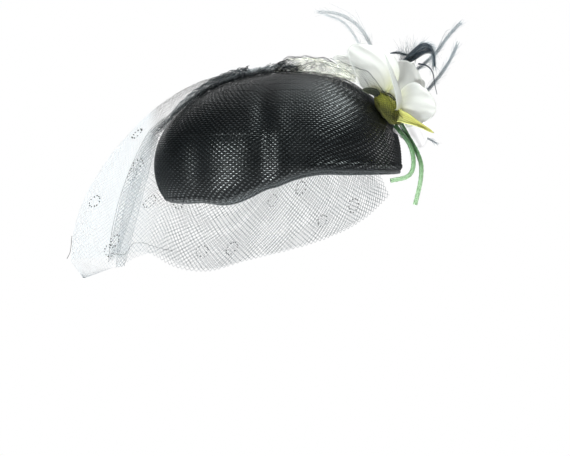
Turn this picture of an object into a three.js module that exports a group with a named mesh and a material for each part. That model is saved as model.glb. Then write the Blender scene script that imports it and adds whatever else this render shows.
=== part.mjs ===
// A fascinator: a woven-straw crown with a bound rim, a net veil tacked to its top, and a cloth
// flower with a yellow sepal, two cut stems and curled feathers sewn to the back of its left side.
// Millimetres. +X is the wearer's left, -Y is the front, +Z is up. The origin is the middle of the
// opening that the head goes into.
import * as THREE from 'three';

// Crown
const POLE_Y = 10;            // the dome's upright axis, behind the middle of the opening
const EQUATOR_Z = 20;         // height of the crown's widest line
const DOME_HEIGHT = 84;       // from the widest line to the top
const SEMI_FRONT = 125.5;     // from the axis to the front
const SEMI_BACK = 101.5;      // from the axis to the back
const SEMI_SIDE = 94;         // from the axis to each side
const PLAN_POWER = 2.2;       // squareness of the outline seen from above
const FRONT_POWER = 2.0;      // squareness of the dome's profile at the front
const BACK_POWER = 2.3;       // and at the sides and back
const STRAW_WALL = 2;
const RIM_FRONT_Z = -14.7;    // height of the rim at the front
const RIM_BACK_Z = 15.2;      // and behind the ears
const RIM_SLOPE_FROM_Y = -75; // the rim rises from here
const RIM_SLOPE_TO_Y = 50;    // to here
const CURL_FRONT = 19;        // how far the wall curls in under the front
const CURL_BACK = 0.6;        // and at the back
const TURN_FRONT = 1;         // share of a quarter turn that the wall makes under the front
const TURN_BACK = 0.4;        // and at the back
const CURL_FROM = -0.6;       // cosine of the heading from which the wall starts to curl
const CROWN_COLUMNS = 44;
const DOME_ROWS = 8;
const SKIRT_ROWS = 3;

// Soft hollows and swellings of the crown's sides, by place, half-length, half-height and depth
const RELIEF_FROM = 0.25;     // sines of the heading between which they come in
const RELIEF_FULL = 0.7;
const CROWN_RELIEF = [
  { y: -76, z: 20, alongY: 10, alongZ: 60, out: -2.0 },  // hollow behind the front
  { y: -46, z: 8, alongY: 18, alongZ: 30, out: 3.0 },    // front lobe
  { y: -16, z: 45, alongY: 9, alongZ: 50, out: -3.0 },   // fold that falls from the tack
  { y: -2, z: 34, alongY: 8, alongZ: 34, out: 2.0 },     // ridge beside the fold
  { y: 52, z: 60, alongY: 34, alongZ: 26, out: 4.0 },    // large swelling over the ear
  { y: 50, z: 27, alongY: 45, alongZ: 8, out: -2.0 },    // waist under it
];

// Rim binding
const SEAT_GAP = 0.3;         // between pieces that rest on each other
const BINDING_RADIUS = 1.5;
const BINDING_SIDES = 8;

// Veil
const NET_WALL = 1;
const NET_GAP = 2.2;          // from the crown to the middle of the net that lies on it
const NET_STRAND_SHARE = 0.36; // share of a diamond that each strand takes
const NET_COLUMNS = 12;       // half-diamonds round each side of the veil
const NET_ROWS = 10;          // half-diamonds from the gathers to the hem
const GATHER_SHARE = 0.1;     // share of each fold's length that is closed gathers
const GATHER_ROWS = 2;
const UPPER_STRETCH = 1.15;   // how much longer the net above the brow is than the straight way
// One row for each fold on the left side, from the crease in front of the face to the back edge.
// The net leaves its top edge, passes the brow point and hangs to the hem, bowing out between them.
const VEIL_FOLDS = [
  { step: 0, topX: 0, topY: -27, browX: 0, browY: -119.6, browZ: 69, hemX: 0, hemY: -193, hemZ: -67,
    lift: 11, bow: 19 },
  { step: 2, topX: 5, topY: -26, browX: 20, browY: -113, browZ: 48, hemX: 50, hemY: -146, hemZ: -62,
    lift: 9, bow: 0, crease: true },
  { step: 3, topX: 7, topY: -25, browX: 27, browY: -119, browZ: 51, hemX: 60, hemY: -154, hemZ: -68,
    lift: 9, bow: 8, crease: true },
  { step: 4, topX: 8, topY: -23, browX: 58, browY: -88, browZ: 42, hemX: 80, hemY: -122, hemZ: -59,
    lift: 6, bow: 4 },
  { step: 5, topX: 9, topY: -20, browX: 78, browY: -55, browZ: 32, hemX: 92, hemY: -92, hemZ: -73,
    lift: 3, bow: 4 },
  { step: 6, topX: 9, topY: -15, browX: 90, browY: -28, browZ: 26, hemX: 98, hemY: -63, hemZ: -76,
    lift: 0, bow: 3 },
  { step: 7, topX: 8, topY: -8, browX: 94, browY: -6, browZ: 24, hemX: 102, hemY: -31, hemZ: -67,
    lift: 0, bow: 2 },
  { step: 8, topX: 7, topY: 2, browX: 96, browY: 14, browZ: 24, hemX: 103, hemY: 2, hemZ: -59,
    lift: 0, bow: 2 },
  { step: 9, topX: 6, topY: 14, browX: 94, browY: 34, browZ: 24, hemX: 98, hemY: 33, hemZ: -50,
    lift: 0, bow: 1 },
  { step: 10, topX: 6, topY: 28, browX: 88, browY: 52, browZ: 24, hemX: 87, hemY: 60, hemZ: -39,
    lift: 0, bow: 1 },
  { step: 11, topX: 6, topY: 43, browX: 78, browY: 68, browZ: 24, hemX: 77, hemY: 80, hemZ: -26,
    lift: 0, bow: 1 },
  { step: 12, topX: 6, topY: 56, browX: 66, browY: 82, browZ: 24, hemX: 60, hemY: 99, hemZ: -8,
    lift: 0, bow: 1 },
];
const FAR_HEM_DROP = 12;      // the right side's hem hangs this much lower in front
const FAR_DROP_STEP = 1.5;    // most at this step
const CREASE_GAP = 1.4;       // between the middles of the two sides along the front crease
const CREASE_STEPS = 2;       // over which they close on the crown

// Puff of net bunched up behind the tack
const PUFF_RIDGE = [
  { y: -5, z: 112 }, { y: 8, z: 119 }, { y: 26, z: 120 }, { y: 40, z: 118.5 }, { y: 54, z: 112 },
  { y: 70, z: 100.5 },
];
const PUFF_HALF_WIDTH = 24;
const PUFF_FOOT_GAP = 4.4;    // from the crown to the puff's feet, over the veil
const PUFF_COLUMNS = 4;
const PUFF_ROWS = 4;
const PUFF_END_SHARE = 0.7;   // width of its ends, as a share of its middle
const PUFF_SAG = 6;           // how far its sides hang below the crown's top
const PUFF_STRAND_SHARE = 0.25;

// Tack that holds the gathers
const TACK_Y = -14;
const TACK_RADIUS = 4;
const TACK_HEIGHT = 5;
const TACK_SIDES = 10;
// Its profile, as shares of the radius and the height
const TACK_PROFILE = [[0, 0], [0.8, 0], [1, 0.35], [0.85, 0.75], [0.45, 1], [0, 1]];

// Calyx: an egg that lies along the slope of the crown's back and carries all of the flower
const CALYX = { x: 41, y: 98.2, z: 70.7, length: 36, width: 17, depth: 17, slopeDeg: 52 };
const CALYX_ROWS = 8;
const CALYX_SIDES = 12;

// Petals: foot on the calyx (along its length, and round it from its outer side to the left),
// tip, half-width, how far the edges cup to the left, and turn of the blade about its spine
const PETAL_WALL = 1;
const PETAL_FOOT_HALF = 1;    // half-width at the foot
const PETAL_RISE = 0.3;       // how far a blade stands up from its foot, as a share of its length
const PETAL_ROUND = 0.28;     // how much shorter its edges are than its spine
const PETAL_TIP_SHARE = 0.82; // width at the tip, as a share of the widest
const PETAL_GRID = { wide: 0.7, columns: 5, rows: 5 };
const PETALS = [
  { name: 'petal_top', along: -0.75, round: 30, x: 52, y: 62, z: 125, half: 20, cup: 6, turn: 0 },
  { name: 'petal_fold', along: 0.3, round: 60, x: 62, y: 93.8, z: 118.7, half: 6, cup: 1, turn: 60 },
  { name: 'petal_upper', along: -0.2, round: 4, x: 39, y: 113.5, z: 114, half: 21, cup: 3, turn: 0 },
  { name: 'petal_right', along: 0.22, round: 26, x: 51, y: 140.5, z: 67, half: 21, cup: 4, turn: 0 },
  { name: 'petal_lower', along: 0.45, round: -50, x: 29, y: 129, z: 35.5, half: 17, cup: 2, turn: 0 },
  { name: 'petal_back_left', along: -0.55, round: -22, x: 30, y: 48.5, z: 117.2,
    half: 12, cup: 3, turn: 0 },
  { name: 'petal_back_right', along: 0.1, round: -16, x: 33, y: 130.4, z: 96.3,
    half: 12, cup: 3, turn: 0 },
  { name: 'petal_back_up', along: -0.2, round: -30, x: 25, y: 121.9, z: 112.5,
    half: 9, cup: 2, turn: 0 },
];

// Leaves that grow from the calyx. The sepal is widest at its foot and narrows to a point
const LEAF_GRID = { wide: 0.4, columns: 3, rows: 5 };
const LEAVES = [
  {
    name: 'sepal', along: 0.6, round: 66, x: 59, y: 138.5, z: 47.8, half: 4.6, cup: 1.5, turn: 10,
    footHalf: 6, tipShare: 0.4,
  },
  { name: 'leaf_tab', along: -0.82, round: 92, x: 58, y: 73.8, z: 86.6, half: 3.2, cup: 0.8, turn: 0 },
];

// Stems
const STEM_RADIUS = 2.1;
const STEM_BORE = 1.4;
const STEM_START_GAP = 1.15;   // from the calyx to the middle of a stem's slanting end
const STEM_SIDES = 8;
const STEM_STEPS = 10;
// Each stem leaves the calyx at its foot and passes these points
const STEMS = [
  {
    name: 'stem_long', along: 0.95, round: 90,
    route: [
      { x: 43.6, y: 115.9, z: 45.1 }, { x: 43.4, y: 123.3, z: 32.2 }, { x: 43, y: 127.4, z: 21.2 },
      { x: 42.6, y: 127.9, z: 12 }, { x: 42, y: 126.5, z: 0.9 }, { x: 41, y: 122.4, z: -16.6 },
    ],
  },
  {
    name: 'stem_bent', along: 0.84, round: 150,
    route: [
      { x: 48, y: 112.2, z: 45.1 }, { x: 49, y: 117.8, z: 35.9 }, { x: 49, y: 120.5, z: 24.8 },
      { x: 49, y: 119.6, z: 14.7 }, { x: 50.5, y: 114.1, z: 8.3 }, { x: 53, y: 99.8, z: 4.9 },
    ],
  },
];

// Feathers: quills with a narrow vane, each from its root to its tip
const FEATHER_THICKNESS = 1.2;
const FEATHER_STEPS = 11;
const FEATHER_ROOT_SHARE = 0.35; // width at the root, as a share of the widest
const FEATHER_TAPER = 0.55;     // share of the width lost towards the tip
const FEATHERS = [
  {
    name: 'feather_arch', along: -0.35, round: -95, half: 2.2,
    via: [{ x: 27, y: 85.2, z: 120.3 }, { x: 26, y: 75.3, z: 141.2 }, { x: 26, y: 63.4, z: 152.1 },
      { x: 27, y: 49.5, z: 157.9 }, { x: 28, y: 34.7, z: 158.9 }],
  },
  {
    name: 'feather_arch_small', along: -0.6, round: -85, half: 1.4,
    via: [{ x: 23, y: 75.4, z: 122.6 }, { x: 21, y: 65.5, z: 141.5 }, { x: 20, y: 55.6, z: 151.5 },
      { x: 20, y: 41.7, z: 157 }],
  },
  {
    name: 'feather_hook', along: -0.1, round: -80, half: 2.6,
    via: [{ x: 26, y: 107, z: 105.6 }, { x: 24, y: 118.9, z: 118.5 }, { x: 24, y: 128.8, z: 128.5 },
      { x: 25, y: 137.7, z: 126.4 }, { x: 26, y: 140.6, z: 109.5 }],
  },
  {
    name: 'feather_long', along: 0.08, round: -96, half: 2.1,
    via: [{ x: 21, y: 115.1, z: 97.9 }, { x: 19, y: 130.1, z: 110.9 }, { x: 18, y: 143, z: 122.9 },
      { x: 16, y: 154.1, z: 137.9 }, { x: 14, y: 165.1, z: 150 }],
  },
  {
    name: 'feather_back', along: 0.3, round: -80, half: 2.1,
    via: [{ x: 25, y: 118.9, z: 79.9 }, { x: 24, y: 132.8, z: 86.8 }, { x: 23, y: 146.7, z: 102.7 },
      { x: 22, y: 155.7, z: 116.7 }, { x: 22, y: 161.7, z: 129.6 }],
  },
  {
    name: 'feather_low', along: 0.7, round: -135, half: 1.2,
    via: [{ x: 26, y: 105, z: 51.1 }, { x: 23, y: 118, z: 50.2 }, { x: 22, y: 131.9, z: 45.3 },
      { x: 22, y: 143.3, z: 39.3 }],
  },
];

const group = new THREE.Group();
const clamp01 = (t) => Math.min(1, Math.max(0, t));
const mix = (a, b, t) => a + (b - a) * t;
const smooth = (from, to, t) => {
  const k = clamp01((t - from) / (to - from));
  return k * k * (3 - 2 * k);
};

function cloth(color, roughness) {
  return new THREE.MeshStandardMaterial({ color, roughness, metalness: 0 });
}

function addPiece(name, geometry, material) {
  const mesh = new THREE.Mesh(geometry, material);
  mesh.name = name;
  group.add(mesh);
  return mesh;
}

function solid(points, faces) {
  const geometry = new THREE.BufferGeometry();
  const flat = points.flatMap((p) => [p.x, p.y, p.z]);
  geometry.setAttribute('position', new THREE.Float32BufferAttribute(flat, 3));
  geometry.setIndex(faces.flat());
  geometry.computeVertexNormals();
  return geometry;
}

// ---- Crown: a function of the heading (0 at the front, 90 degrees at the left) ----

function outlineRadius(heading) {
  const semi = Math.cos(heading) > 0 ? SEMI_FRONT : SEMI_BACK;
  const along = Math.abs(Math.cos(heading)) / semi;
  const across = Math.abs(Math.sin(heading)) / SEMI_SIDE;
  return (along ** PLAN_POWER + across ** PLAN_POWER) ** (-1 / PLAN_POWER);
}

function domePower(heading) {
  return mix(BACK_POWER, FRONT_POWER, Math.max(0, Math.cos(heading)) ** 2);
}

function skirt(heading) {
  const y = POLE_Y - outlineRadius(heading) * Math.cos(heading);
  const rimZ = mix(RIM_FRONT_Z, RIM_BACK_Z, smooth(RIM_SLOPE_FROM_Y, RIM_SLOPE_TO_Y, y));
  const front = smooth(CURL_FROM, 1, Math.cos(heading));
  const turn = mix(TURN_BACK, TURN_FRONT, front) * Math.PI / 2;
  return {
    turn,
    depth: EQUATOR_Z - rimZ,
    semiHeight: (EQUATOR_Z - rimZ) / Math.sin(turn),
    semiWidth: mix(CURL_BACK, CURL_FRONT, front) / (1 - Math.cos(turn)),
  };
}

function relief(heading, y, z) {
  const side = smooth(RELIEF_FROM, RELIEF_FULL, Math.abs(Math.sin(heading)));
  const swell = (r) => r.out * Math.exp(-(((y - r.y) / r.alongY) ** 2) - ((z - r.z) / r.alongZ) ** 2);
  return side * CROWN_RELIEF.reduce((sum, r) => sum + swell(r), 0);
}

function place(heading, radius, z) {
  return new THREE.Vector3(radius * Math.sin(heading), POLE_Y - radius * Math.cos(heading), z);
}

// The outer wall: level runs from -1 at the rim through 0 at the widest line to 1 at the top
function crownProfile(heading, level) {
  const radius = outlineRadius(heading);
  if (level < 0) {
    const { turn, semiHeight, semiWidth } = skirt(heading);
    return {
      radius: radius - semiWidth * (1 - Math.cos(level * turn)),
      z: EQUATOR_Z + semiHeight * Math.sin(level * turn),
    };
  }
  const angle = level * Math.PI / 2;
  const power = 2 / domePower(heading);
  return {
    radius: radius * Math.cos(angle) ** power,
    z: EQUATOR_Z + DOME_HEIGHT * Math.sin(angle) ** power,
  };
}

function crownPoint(heading, level, inward = 0) {
  const step = 0.01;
  const here = crownProfile(heading, level);
  const before = crownProfile(heading, Math.max(-1, level - step));
  const after = crownProfile(heading, Math.min(1, level + step));
  const slope = new THREE.Vector2(after.radius - before.radius, after.z - before.z).normalize();
  const y = POLE_Y - here.radius * Math.cos(heading);
  const out = relief(heading, y, here.z) - inward;
  const radius = Math.max(0, here.radius + out * slope.y);
  return place(heading, radius, here.z - out * slope.x);
}

function crownLevels() {
  const levels = [];
  for (let i = 0; i < SKIRT_ROWS; i += 1) levels.push(-1 + i / SKIRT_ROWS);
  for (let i = 0; i < DOME_ROWS; i += 1) levels.push(i / DOME_ROWS);
  return levels;
}

function crownWall(inward) {
  const rings = crownLevels().map((level) => {
    const ring = [];
    for (let i = 0; i < CROWN_COLUMNS; i += 1) {
      ring.push(crownPoint(2 * Math.PI * i / CROWN_COLUMNS, level, inward));
    }
    return ring;
  });
  const top = new THREE.Vector3(0, POLE_Y, EQUATOR_Z + DOME_HEIGHT - inward);
  return { rings, top };
}

function crownGeometry() {
  const outer = crownWall(0);
  const inner = crownWall(STRAW_WALL);
  const points = [...outer.rings.flat(), outer.top, ...inner.rings.flat(), inner.top];
  const faces = [];
  const wallSize = outer.rings.flat().length + 1;
  const rows = outer.rings.length;
  const at = (wall, row, column) => wall * wallSize + row * CROWN_COLUMNS + (column % CROWN_COLUMNS);
  for (let wall = 0; wall < 2; wall += 1) {
    const turn = (a, b, c) => (wall === 0 ? [a, b, c] : [a, c, b]);
    for (let row = 0; row < rows - 1; row += 1) {
      for (let i = 0; i < CROWN_COLUMNS; i += 1) {
        const [a, b] = [at(wall, row, i), at(wall, row, i + 1)];
        const [c, d] = [at(wall, row + 1, i), at(wall, row + 1, i + 1)];
        faces.push(turn(a, b, d), turn(a, d, c));
      }
    }
    const top = wall * wallSize + wallSize - 1;
    for (let i = 0; i < CROWN_COLUMNS; i += 1) {
      faces.push(turn(at(wall, rows - 1, i), at(wall, rows - 1, i + 1), top));
    }
  }
  for (let i = 0; i < CROWN_COLUMNS; i += 1) {
    const [a, b] = [at(0, 0, i), at(0, 0, i + 1)];
    const [c, d] = [at(1, 0, i), at(1, 0, i + 1)];
    faces.push([a, c, b], [b, c, d]);
  }
  return solid(points, faces);
}

// ---- Rim binding: a round edge that goes on where the wall ends ----

function bindingGeometry() {
  const points = [];
  const faces = [];
  for (let i = 0; i < CROWN_COLUMNS; i += 1) {
    const heading = 2 * Math.PI * i / CROWN_COLUMNS;
    const outer = crownPoint(heading, -1);
    const inner = crownPoint(heading, -1, STRAW_WALL);
    const above = crownPoint(heading, -1 + 1 / SKIRT_ROWS);
    const wall = inner.clone().sub(outer).normalize();
    const onward = outer.clone().sub(above);
    onward.addScaledVector(wall, -onward.dot(wall)).normalize();
    const middle = outer.clone().add(inner).multiplyScalar(0.5)
      .addScaledVector(onward, BINDING_RADIUS + SEAT_GAP);
    for (let k = 0; k < BINDING_SIDES; k += 1) {
      const angle = 2 * Math.PI * k / BINDING_SIDES;
      points.push(middle.clone()
        .addScaledVector(wall, BINDING_RADIUS * Math.cos(angle))
        .addScaledVector(onward, BINDING_RADIUS * Math.sin(angle)));
      const [a, b] = [i, (i + 1) % CROWN_COLUMNS].map((n) => n * BINDING_SIDES + k);
      const next = (k + 1) % BINDING_SIDES - k;
      faces.push([a, b, b + next], [a, b + next, a + next]);
    }
  }
  return solid(points, faces);
}

// ---- Veil ----

// Moves a point out to at least the given distance from the crown's smooth form
function clearOfCrown(point, gap) {
  const centre = new THREE.Vector3(0, POLE_Y, EQUATOR_Z);
  const from = point.clone().sub(centre);
  const heading = Math.atan2(from.x, -from.y);
  const flat = Math.hypot(from.x, from.y);
  const swell = Math.max(0, relief(heading, point.y, point.z));
  if (from.z >= 0) {
    const power = domePower(heading);
    const across = (flat / outlineRadius(heading)) ** power;
    const share = (across + (from.z / DOME_HEIGHT) ** power) ** (1 / power);
    const reach = from.length() / Math.max(share, 1e-6) + gap + swell;
    return from.length() < reach ? centre.addScaledVector(from.normalize(), reach) : point;
  }
  const { depth, semiHeight, semiWidth } = skirt(heading);
  const drop = Math.min(1, -from.z / semiHeight);
  const wall = outlineRadius(heading) - semiWidth * (1 - Math.sqrt(1 - drop * drop));
  const reach = wall + gap + swell;
  const besideRim = -from.z < depth + 2 * BINDING_RADIUS + NET_GAP;
  return flat < reach && besideRim ? place(heading, reach, point.z) : point;
}

// Reads a row's value at a step between rows; a creased row keeps its corner
function blend(rows, key, step) {
  const last = rows.length - 1;
  let i = rows.findIndex((row) => row.step >= step);
  i = Math.min(last, Math.max(1, i));
  const [a, b] = [rows[i - 1], rows[i]];
  const span = b.step - a.step;
  const t = (step - a.step) / span;
  const chord = b[key] - a[key];
  const slopeAt = (row, before, after) => (row.crease || !before || !after
    ? chord : (after[key] - before[key]) / (after.step - before.step) * span);
  const [m0, m1] = [slopeAt(a, rows[i - 2], b), slopeAt(b, a, rows[i + 1])];
  const [t2, t3] = [t * t, t * t * t];
  return (2 * t3 - 3 * t2 + 1) * a[key] + (t3 - 2 * t2 + t) * m0
    + (3 * t2 - 2 * t3) * b[key] + (t3 - t2) * m1;
}

function veilFold(step) {
  const away = Math.abs(step);
  const far = step < 0;
  const value = (key) => blend(VEIL_FOLDS, key, away);
  const side = far ? -1 : 1;
  const past = Math.max(0, away - FAR_DROP_STEP) / 2;
  const drop = far ? FAR_HEM_DROP * smooth(0, FAR_DROP_STEP, away) * Math.exp(-past * past) : 0;
  const top = new THREE.Vector3(side * value('topX'), value('topY'), EQUATOR_Z + DOME_HEIGHT);
  const brow = new THREE.Vector3(side * value('browX'), value('browY'), value('browZ'));
  const hem = new THREE.Vector3(side * value('hemX'), value('hemY'), value('hemZ') - drop);
  return { top, brow, hem, lift: value('lift'), bow: value('bow') };
}

// A point of the net: step counts half-diamonds from the front crease, down is 0 at the top edge
function veilPoint(step, down) {
  const { top, brow, hem, lift, bow } = veilFold(step);
  const upper = top.distanceTo(brow) * UPPER_STRETCH;
  const lower = brow.distanceTo(hem);
  const split = upper / (upper + lower);
  if (down <= split) {
    const t = down / split;
    const point = top.clone().lerp(brow, t);
    point.z += 4 * lift * t * (1 - t);
    return clearOfCrown(point, NET_GAP);
  }
  const t = (down - split) / (1 - split);
  const point = brow.clone().lerp(hem, t);
  const outward = new THREE.Vector3(point.x, point.y - POLE_Y, 0).normalize();
  return clearOfCrown(point.addScaledVector(outward, 4 * bow * t * (1 - t)), NET_GAP);
}

function surfaceNormal(surface, u, v, h) {
  const along = surface(u + h, v).sub(surface(u - h, v));
  const across = surface(u, v + h).sub(surface(u, v - h));
  return along.cross(across).normalize();
}

// A net of diamond gaps cut through a curved sheet. Nodes stand where column + row is even.
function netGeometry({ surface, columns, rows, wall, strand, openRow }) {
  const points = [];
  const faces = [];
  const known = new Map();
  const pair = (i, j) => {
    const key = `${i.toFixed(4)},${j.toFixed(4)}`;
    if (!known.has(key)) {
      const h = 0.12;
      const middle = surface(i, j);
      const inside = (t, most) => Math.min(most - h, Math.max(h, t));
      const normal = surfaceNormal(surface, inside(i, columns), inside(j, rows), h);
      known.set(key, points.length);
      points.push(middle.clone().addScaledVector(normal, -wall / 2));
      points.push(middle.clone().addScaledVector(normal, wall / 2));
    }
    return known.get(key);
  };
  const quad = (a, b, c, d) => {
    faces.push([a, b, c], [a, c, d]);
    faces.push([a + 1, c + 1, b + 1], [a + 1, d + 1, c + 1]);
  };
  const edge = (a, b) => faces.push([a, a + 1, b + 1], [a, b + 1, b]);
  const cell = (ring, open) => {
    const centre = [0, 1].map((n) => ring.reduce((sum, p) => sum + p[n], 0) / ring.length);
    const outer = ring.map(([i, j]) => pair(i, j));
    if (!open) {
      const hub = pair(...centre);
      outer.forEach((a, n) => {
        const b = outer[(n + 1) % outer.length];
        faces.push([a, b, hub], [a + 1, hub + 1, b + 1]);
      });
      return outer;
    }
    const inner = ring.map(([i, j]) => pair(mix(i, centre[0], strand), mix(j, centre[1], strand)));
    outer.forEach((a, n) => {
      const m = (n + 1) % outer.length;
      quad(a, outer[m], inner[m], inner[n]);
      edge(inner[m], inner[n]);
    });
    return outer;
  };
  for (let j = 0; j <= rows; j += 1) {
    for (let i = 0; i <= columns; i += 1) {
      if ((i + j) % 2 === 0) continue;
      const corners = [[i - 1, j], [i, j + 1], [i + 1, j], [i, j - 1]];
      const ring = [];
      corners.forEach(([ci, cj], n) => {
        const [ni, nj] = corners[(n + 1) % 4];
        const here = ci >= 0 && ci <= columns && cj >= 0 && cj <= rows;
        const next = ni >= 0 && ni <= columns && nj >= 0 && nj <= rows;
        if (here) ring.push([ci, cj]);
        else ring.push([i, j]);
        if (here && next) ring.push([(ci + ni) / 2, (cj + nj) / 2]);
      });
      const outer = cell(ring, j >= openRow);
      outer.forEach((a, n) => {
        const [p, q] = [ring[n], ring[(n + 1) % ring.length]];
        const onSide = (p[0] === q[0] && (p[0] === 0 || p[0] === columns))
          || (p[1] === q[1] && (p[1] === 0 || p[1] === rows));
        if (onSide) edge(a, outer[(n + 1) % outer.length]);
      });
    }
  }
  return solid(points, faces);
}

// ---- Puff and tack ----

function along(rows, key, t) {
  const at = clamp01(t) * (rows.length - 1);
  const i = Math.min(rows.length - 2, Math.floor(at));
  return mix(rows[i][key], rows[i + 1][key], at - i);
}

function puffPoint(u, v) {
  const angle = mix(-Math.PI / 2, Math.PI / 2, v / PUFF_ROWS);
  const t = u / PUFF_COLUMNS;
  const foot = EQUATOR_Z + DOME_HEIGHT;
  const rise = along(PUFF_RIDGE, 'z', t) - foot;
  const narrow = mix(PUFF_END_SHARE, 1, Math.sin(Math.PI * t));
  const point = new THREE.Vector3(
    PUFF_HALF_WIDTH * narrow * Math.sin(angle),
    along(PUFF_RIDGE, 'y', t),
    foot + rise * Math.cos(angle) - PUFF_SAG * Math.sin(angle) ** 2,
  );
  return clearOfCrown(point, PUFF_FOOT_GAP);
}

// Height of the crown over its middle line, in front of its axis
function domeHeightAt(y) {
  const share = (POLE_Y - y) / SEMI_FRONT;
  return EQUATOR_Z + DOME_HEIGHT * (1 - share ** FRONT_POWER) ** (1 / FRONT_POWER);
}

function tackGeometry() {
  const profile = TACK_PROFILE.map(([r, h]) => new THREE.Vector2(r * TACK_RADIUS, h * TACK_HEIGHT));
  return new THREE.LatheGeometry(profile, TACK_SIDES).rotateX(Math.PI / 2);
}

// ---- Flower ----

const slope = THREE.MathUtils.degToRad(CALYX.slopeDeg);
const calyxCentre = new THREE.Vector3(CALYX.x, CALYX.y, CALYX.z);
const calyxAxis = new THREE.Vector3(0, Math.cos(slope), -Math.sin(slope));
const calyxOut = new THREE.Vector3(0, Math.sin(slope), Math.cos(slope));
const left = new THREE.Vector3(1, 0, 0);

// A point on the calyx, or the given gap outside it
function calyxPoint(share, roundDeg, gap = 0) {
  const round = THREE.MathUtils.degToRad(roundDeg);
  const girth = Math.sqrt(Math.max(0, 1 - share * share));
  const out = (CALYX.width / 2 * girth + gap) * Math.cos(round);
  const side = (CALYX.depth / 2 * girth + gap) * Math.sin(round);
  return calyxCentre.clone()
    .addScaledVector(calyxAxis, share * (CALYX.length / 2 + gap))
    .addScaledVector(calyxOut, out)
    .addScaledVector(left, side);
}

function calyxGeometry() {
  const [rows, sides] = [CALYX_ROWS, CALYX_SIDES];
  const points = [];
  const faces = [];
  for (let j = 1; j < rows; j += 1) {
    const share = -Math.cos(Math.PI * j / rows);
    for (let i = 0; i < sides; i += 1) points.push(calyxPoint(share, 360 * i / sides));
  }
  const [head, foot] = [points.length, points.length + 1];
  points.push(calyxPoint(-1, 0), calyxPoint(1, 0));
  for (let i = 0; i < sides; i += 1) {
    const n = (i + 1) % sides;
    faces.push([head, n, i]);
    for (let j = 0; j < rows - 2; j += 1) {
      const [a, b] = [j * sides + i, j * sides + n];
      faces.push([a, b, b + sides], [a, b + sides, a + sides]);
    }
    faces.push([foot, (rows - 2) * sides + i, (rows - 2) * sides + n]);
  }
  return solid(points, faces);
}

// A sheet of even thickness over a surface whose corners are (0, 0) and (1, 1)
function sheetGeometry(surface, columns, rows, wall) {
  const points = [];
  const faces = [];
  const h = 0.02;
  const inside = (t) => Math.min(1 - h, Math.max(h, t));
  for (let j = 0; j <= rows; j += 1) {
    for (let i = 0; i <= columns; i += 1) {
      const [u, v] = [i / columns, j / rows];
      const normal = surfaceNormal(surface, inside(u), inside(v), h);
      points.push(surface(u, v).addScaledVector(normal, wall / 2));
      points.push(surface(u, v).addScaledVector(normal, -wall / 2));
    }
  }
  const at = (i, j) => 2 * (j * (columns + 1) + i);
  for (let j = 0; j < rows; j += 1) {
    for (let i = 0; i < columns; i += 1) {
      const [a, b, c, d] = [at(i, j), at(i + 1, j), at(i + 1, j + 1), at(i, j + 1)];
      faces.push([a, b, c], [a, c, d], [a + 1, c + 1, b + 1], [a + 1, d + 1, c + 1]);
    }
  }
  const wallBetween = (a, b) => faces.push([a, a + 1, b + 1], [a, b + 1, b]);
  for (let i = 0; i < columns; i += 1) {
    wallBetween(at(i, 0), at(i + 1, 0));
    wallBetween(at(i + 1, rows), at(i, rows));
  }
  for (let j = 0; j < rows; j += 1) {
    wallBetween(at(0, j + 1), at(0, j));
    wallBetween(at(columns, j), at(columns, j + 1));
  }
  return solid(points, faces);
}

// A petal or leaf: a blade from its foot to a round tip, with cupped edges
function bladeGeometry(blade, { wide, columns, rows }) {
  const { footHalf = PETAL_FOOT_HALF, tipShare = PETAL_TIP_SHARE } = blade;
  const foot = calyxPoint(blade.along, blade.round, SEAT_GAP);
  const tip = new THREE.Vector3(blade.x, blade.y, blade.z);
  const rise = calyxPoint(blade.along, blade.round, foot.distanceTo(tip) * PETAL_RISE);
  const spine = new THREE.QuadraticBezierCurve3(foot, rise, tip);
  const turn = THREE.MathUtils.degToRad(blade.turn);
  const surface = (u, v) => {
    const edge = 2 * u - 1;
    const t = clamp01(v * (1 - PETAL_ROUND * edge * edge));
    const tangent = spine.getTangent(t);
    const across = tangent.clone().cross(left).normalize();
    const face = across.clone().cross(tangent).normalize();
    across.applyAxisAngle(tangent, turn);
    const grow = Math.sin(Math.PI / 2 * Math.min(1, v / wide));
    const taper = mix(1, tipShare, smooth(wide, 1, v));
    const half = mix(footHalf, blade.half, grow) * taper;
    return spine.getPoint(t)
      .addScaledVector(across, edge * half)
      .addScaledVector(face, blade.cup * edge * edge * grow);
  };
  return sheetGeometry(surface, columns, rows, PETAL_WALL);
}

// ---- Stems and feathers ----

function stemGeometry({ along: share, round, route }) {
  const start = calyxPoint(share, round, STEM_START_GAP);
  const ring = new THREE.Shape().absarc(0, 0, STEM_RADIUS, 0, 2 * Math.PI);
  ring.holes.push(new THREE.Path().absarc(0, 0, STEM_BORE, 0, 2 * Math.PI, true));
  const line = new THREE.CatmullRomCurve3([
    start, ...route.map(({ x, y, z }) => new THREE.Vector3(x, y, z)),
  ]);
  return new THREE.ExtrudeGeometry(ring, {
    extrudePath: line, steps: STEM_STEPS, curveSegments: STEM_SIDES / 2, bevelEnabled: false,
  });
}

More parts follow.
